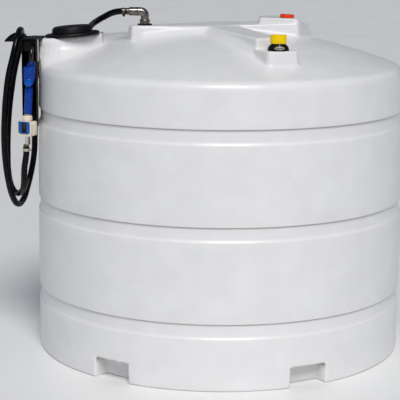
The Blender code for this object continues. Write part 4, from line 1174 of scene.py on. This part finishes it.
nipple = joined("meter_adapter", [turned("meter_adapter", NIPPLE_PROFILE, 48, METER_CENTRE[:2]),
                                  turned("adapter_hexagon", HEXAGON_PROFILE, 6, METER_CENTRE[:2])])
nipple_reflection_steel, tree = new_material("steel_with_painted_warm_reflection")
# Painted reflection: the right side is tinted brown gold, as surroundings would show in the steel.
painted_warm_reflection = calc(tree, "MULTIPLY", ramp(tree, along(tree, "X"), METER_CENTRE[0] - 0.001, METER_CENTRE[0] + 0.005,
                                   0.0, 0.9), patches(tree, 0.01, 0.6, 1.0))
surface(tree, mixed(tree, painted_warm_reflection, "#E2DFDA", "#6A4A22"), (0.006, 0.14, 0.26), {"Metallic": 1.0})
finished(nipple, "meter_nipple", nipple_reflection_steel, 25)

# Meter hose tail: the barb under the nipple, turned of brass, with the shoulder that the hose is
# pushed up to.
METER_HOSE_CENTRE = (-0.9262, -0.288)
BARB_PROFILE = (
    (0.012, 1.0237), (0.014, 1.023), (0.014, 1.0208), (0.0126, 1.0196), (0.0126, 1.0176), (0.014, 1.0166),
    (0.014, 1.014), (0.0128, 1.0129))

barb = turned("meter_barb", BARB_PROFILE, 48, METER_HOSE_CENTRE)
brass = metal("dull_brass", "#6F5C44", "#94805E", 0.22, 0.36)
finished(barb, "meter_hose_tail", brass, 25)

# Meter clamp: the same worm-drive clamp of steel as at the outlet, tightened upright round the hose,
# with its screw to the front right.
METER_CLAMP_Z = 0.9985

meter_clamp = clamp("meter_worm_clamp")
transformed(meter_clamp, "Z", 45, (*METER_HOSE_CENTRE, METER_CLAMP_Z))
finished(meter_clamp, "meter_clamp", bright_steel)

# Filler flange: a black polypropylene foot that is screwed into the step, bulging up to the neck. A
# flat is cut in its front for the padlock.
FILLER_CENTRE = (0.258, -0.6165)
FILLER_PROFILE = (
    (0.03, 1.543), (0.0322, 1.5428), (0.0328, 1.5385), (0.0372, 1.5368), (0.0405, 1.5335), (0.044, 1.5285),
    (0.0462, 1.523), (0.0474, 1.518), (0.0485, 1.5165), (0.0485, 1.513), (0.0475, 1.5118))
PADLOCK_MIDDLE = (FILLER_CENTRE[0] + 0.0035, FILLER_CENTRE[1] - 0.046)

filler = turned("filler_foot", FILLER_PROFILE, 72, FILLER_CENTRE)
x, y = PADLOCK_MIDDLE
cut(filler, boxed("padlock_flat", (x - 0.0265, y - 0.03, 1.5167), (x + 0.0265, y + 0.0072, 1.5362)))
finished(filler, "filler_flange", black_polypropylene)

# Filler cap: a screw cap of yellow polypropylene on the filler's neck, with thirty-six low ribs round
# its side and a sunk top.
CAP_COLUMNS = 108
CAP_PROFILE = (
    (0.03, 1.5785), (0.0312, 1.5808), (0.0345, 1.581), (0.036, 1.58), (0.0366, 1.578), (0.0366, 1.5462),
    (0.0362, 1.544), (0.035, 1.5433))
CAP_RIB_HEIGHTS = (1.5462, 1.578)

cap = turned("filler_screw_cap", CAP_PROFILE, CAP_COLUMNS, FILLER_CENTRE)
choose_columns(cap, FILLER_CENTRE, CAP_COLUMNS, CAP_RIB_HEIGHTS, 3, (0,))
sunk(0.0003, 0.0006)
yellow = moulded("yellow_polypropylene", "#FFD400", "#FFE000", 0.26, 0.36, 0.0002, 0.3)
finished(cap, "filler_cap", yellow)

# Padlock body: a small oval padlock of brushed steel that locks the filling point. It lies across
# the front of the filler's foot.
PADLOCK_HALF = (0.024, 0.0065, 0.0081)
PADLOCK_Z = 1.5251
OVAL_POINTS = 40

oval = []
for i in range(OVAL_POINTS):
    turn = 2 * math.pi * i / OVAL_POINTS
    oval.append((x + PADLOCK_HALF[0] * math.cos(turn), y - PADLOCK_HALF[1],
                 PADLOCK_Z + PADLOCK_HALF[2] * math.sin(turn)))
lock = outlined("padlock_oval", oval, (0, 2 * PADLOCK_HALF[1], 0))
bevel_edges(lock, lambda edge: span(edge, 1) < 0.001, 0.0022, 3)
lock_steel = metal("brushed_padlock_steel", "#8F8A80", "#B8B2A6", 0.3, 0.42, (0.1, 1.0, 1.0))
finished(lock, "padlock_body", lock_steel, 40)

# Padlock bow: a bent wire of hardened steel, 4 mm thick, that stands up from the padlock in front of
# the neck.
BOW_RADIUS = 0.002
BOW_HALF = 0.004
BOW_FOOT_Z = 1.532
BOW_ARCH_Z = 1.5441

bow_points = [(x, y - BOW_HALF, BOW_FOOT_Z)]
for i in range(7):
    turn = math.pi * i / 6
    bow_points.append((x, y - BOW_HALF * math.cos(turn), BOW_ARCH_Z + BOW_HALF * math.sin(turn)))
bow_points.append((x, y + BOW_HALF, BOW_FOOT_Z))
bow = bent_rod("padlock_bow", bow_points, BOW_RADIUS, 4)
finished(bow, "padlock_shackle", bright_steel, 40)

# Vent cap: a flat screw cap of orange-red polypropylene on a short collar, with fine ribs and a
# slight lean to the right.
VENT_PLACE = (0.321, -0.024, 1.6187)
VENT_COLUMNS = 96
VENT_PROFILE = (
    (0.024, 0.016), (0.0315, 0.016), (0.0334, 0.0154), (0.0342, 0.014), (0.0342, 0.006), (0.035, 0.0052),
    (0.035, 0.0034), (0.0338, 0.0024), (0.032, 0.001))
VENT_RIB_HEIGHTS = (0.006, 0.014)
VENT_LEAN = 2.5

vent = turned("vent_screw_cap", VENT_PROFILE, VENT_COLUMNS)
choose_columns(vent, (0, 0), VENT_COLUMNS, VENT_RIB_HEIGHTS, 3, (0,))
sunk(0.0003, 0.0005)
transformed(vent, "Y", VENT_LEAN, VENT_PLACE)
orange = moulded("orange_red_polypropylene", "#EE3C00", "#FF4C06", 0.26, 0.36, 0.0002, 0.3)
finished(vent, "vent_cap", orange)
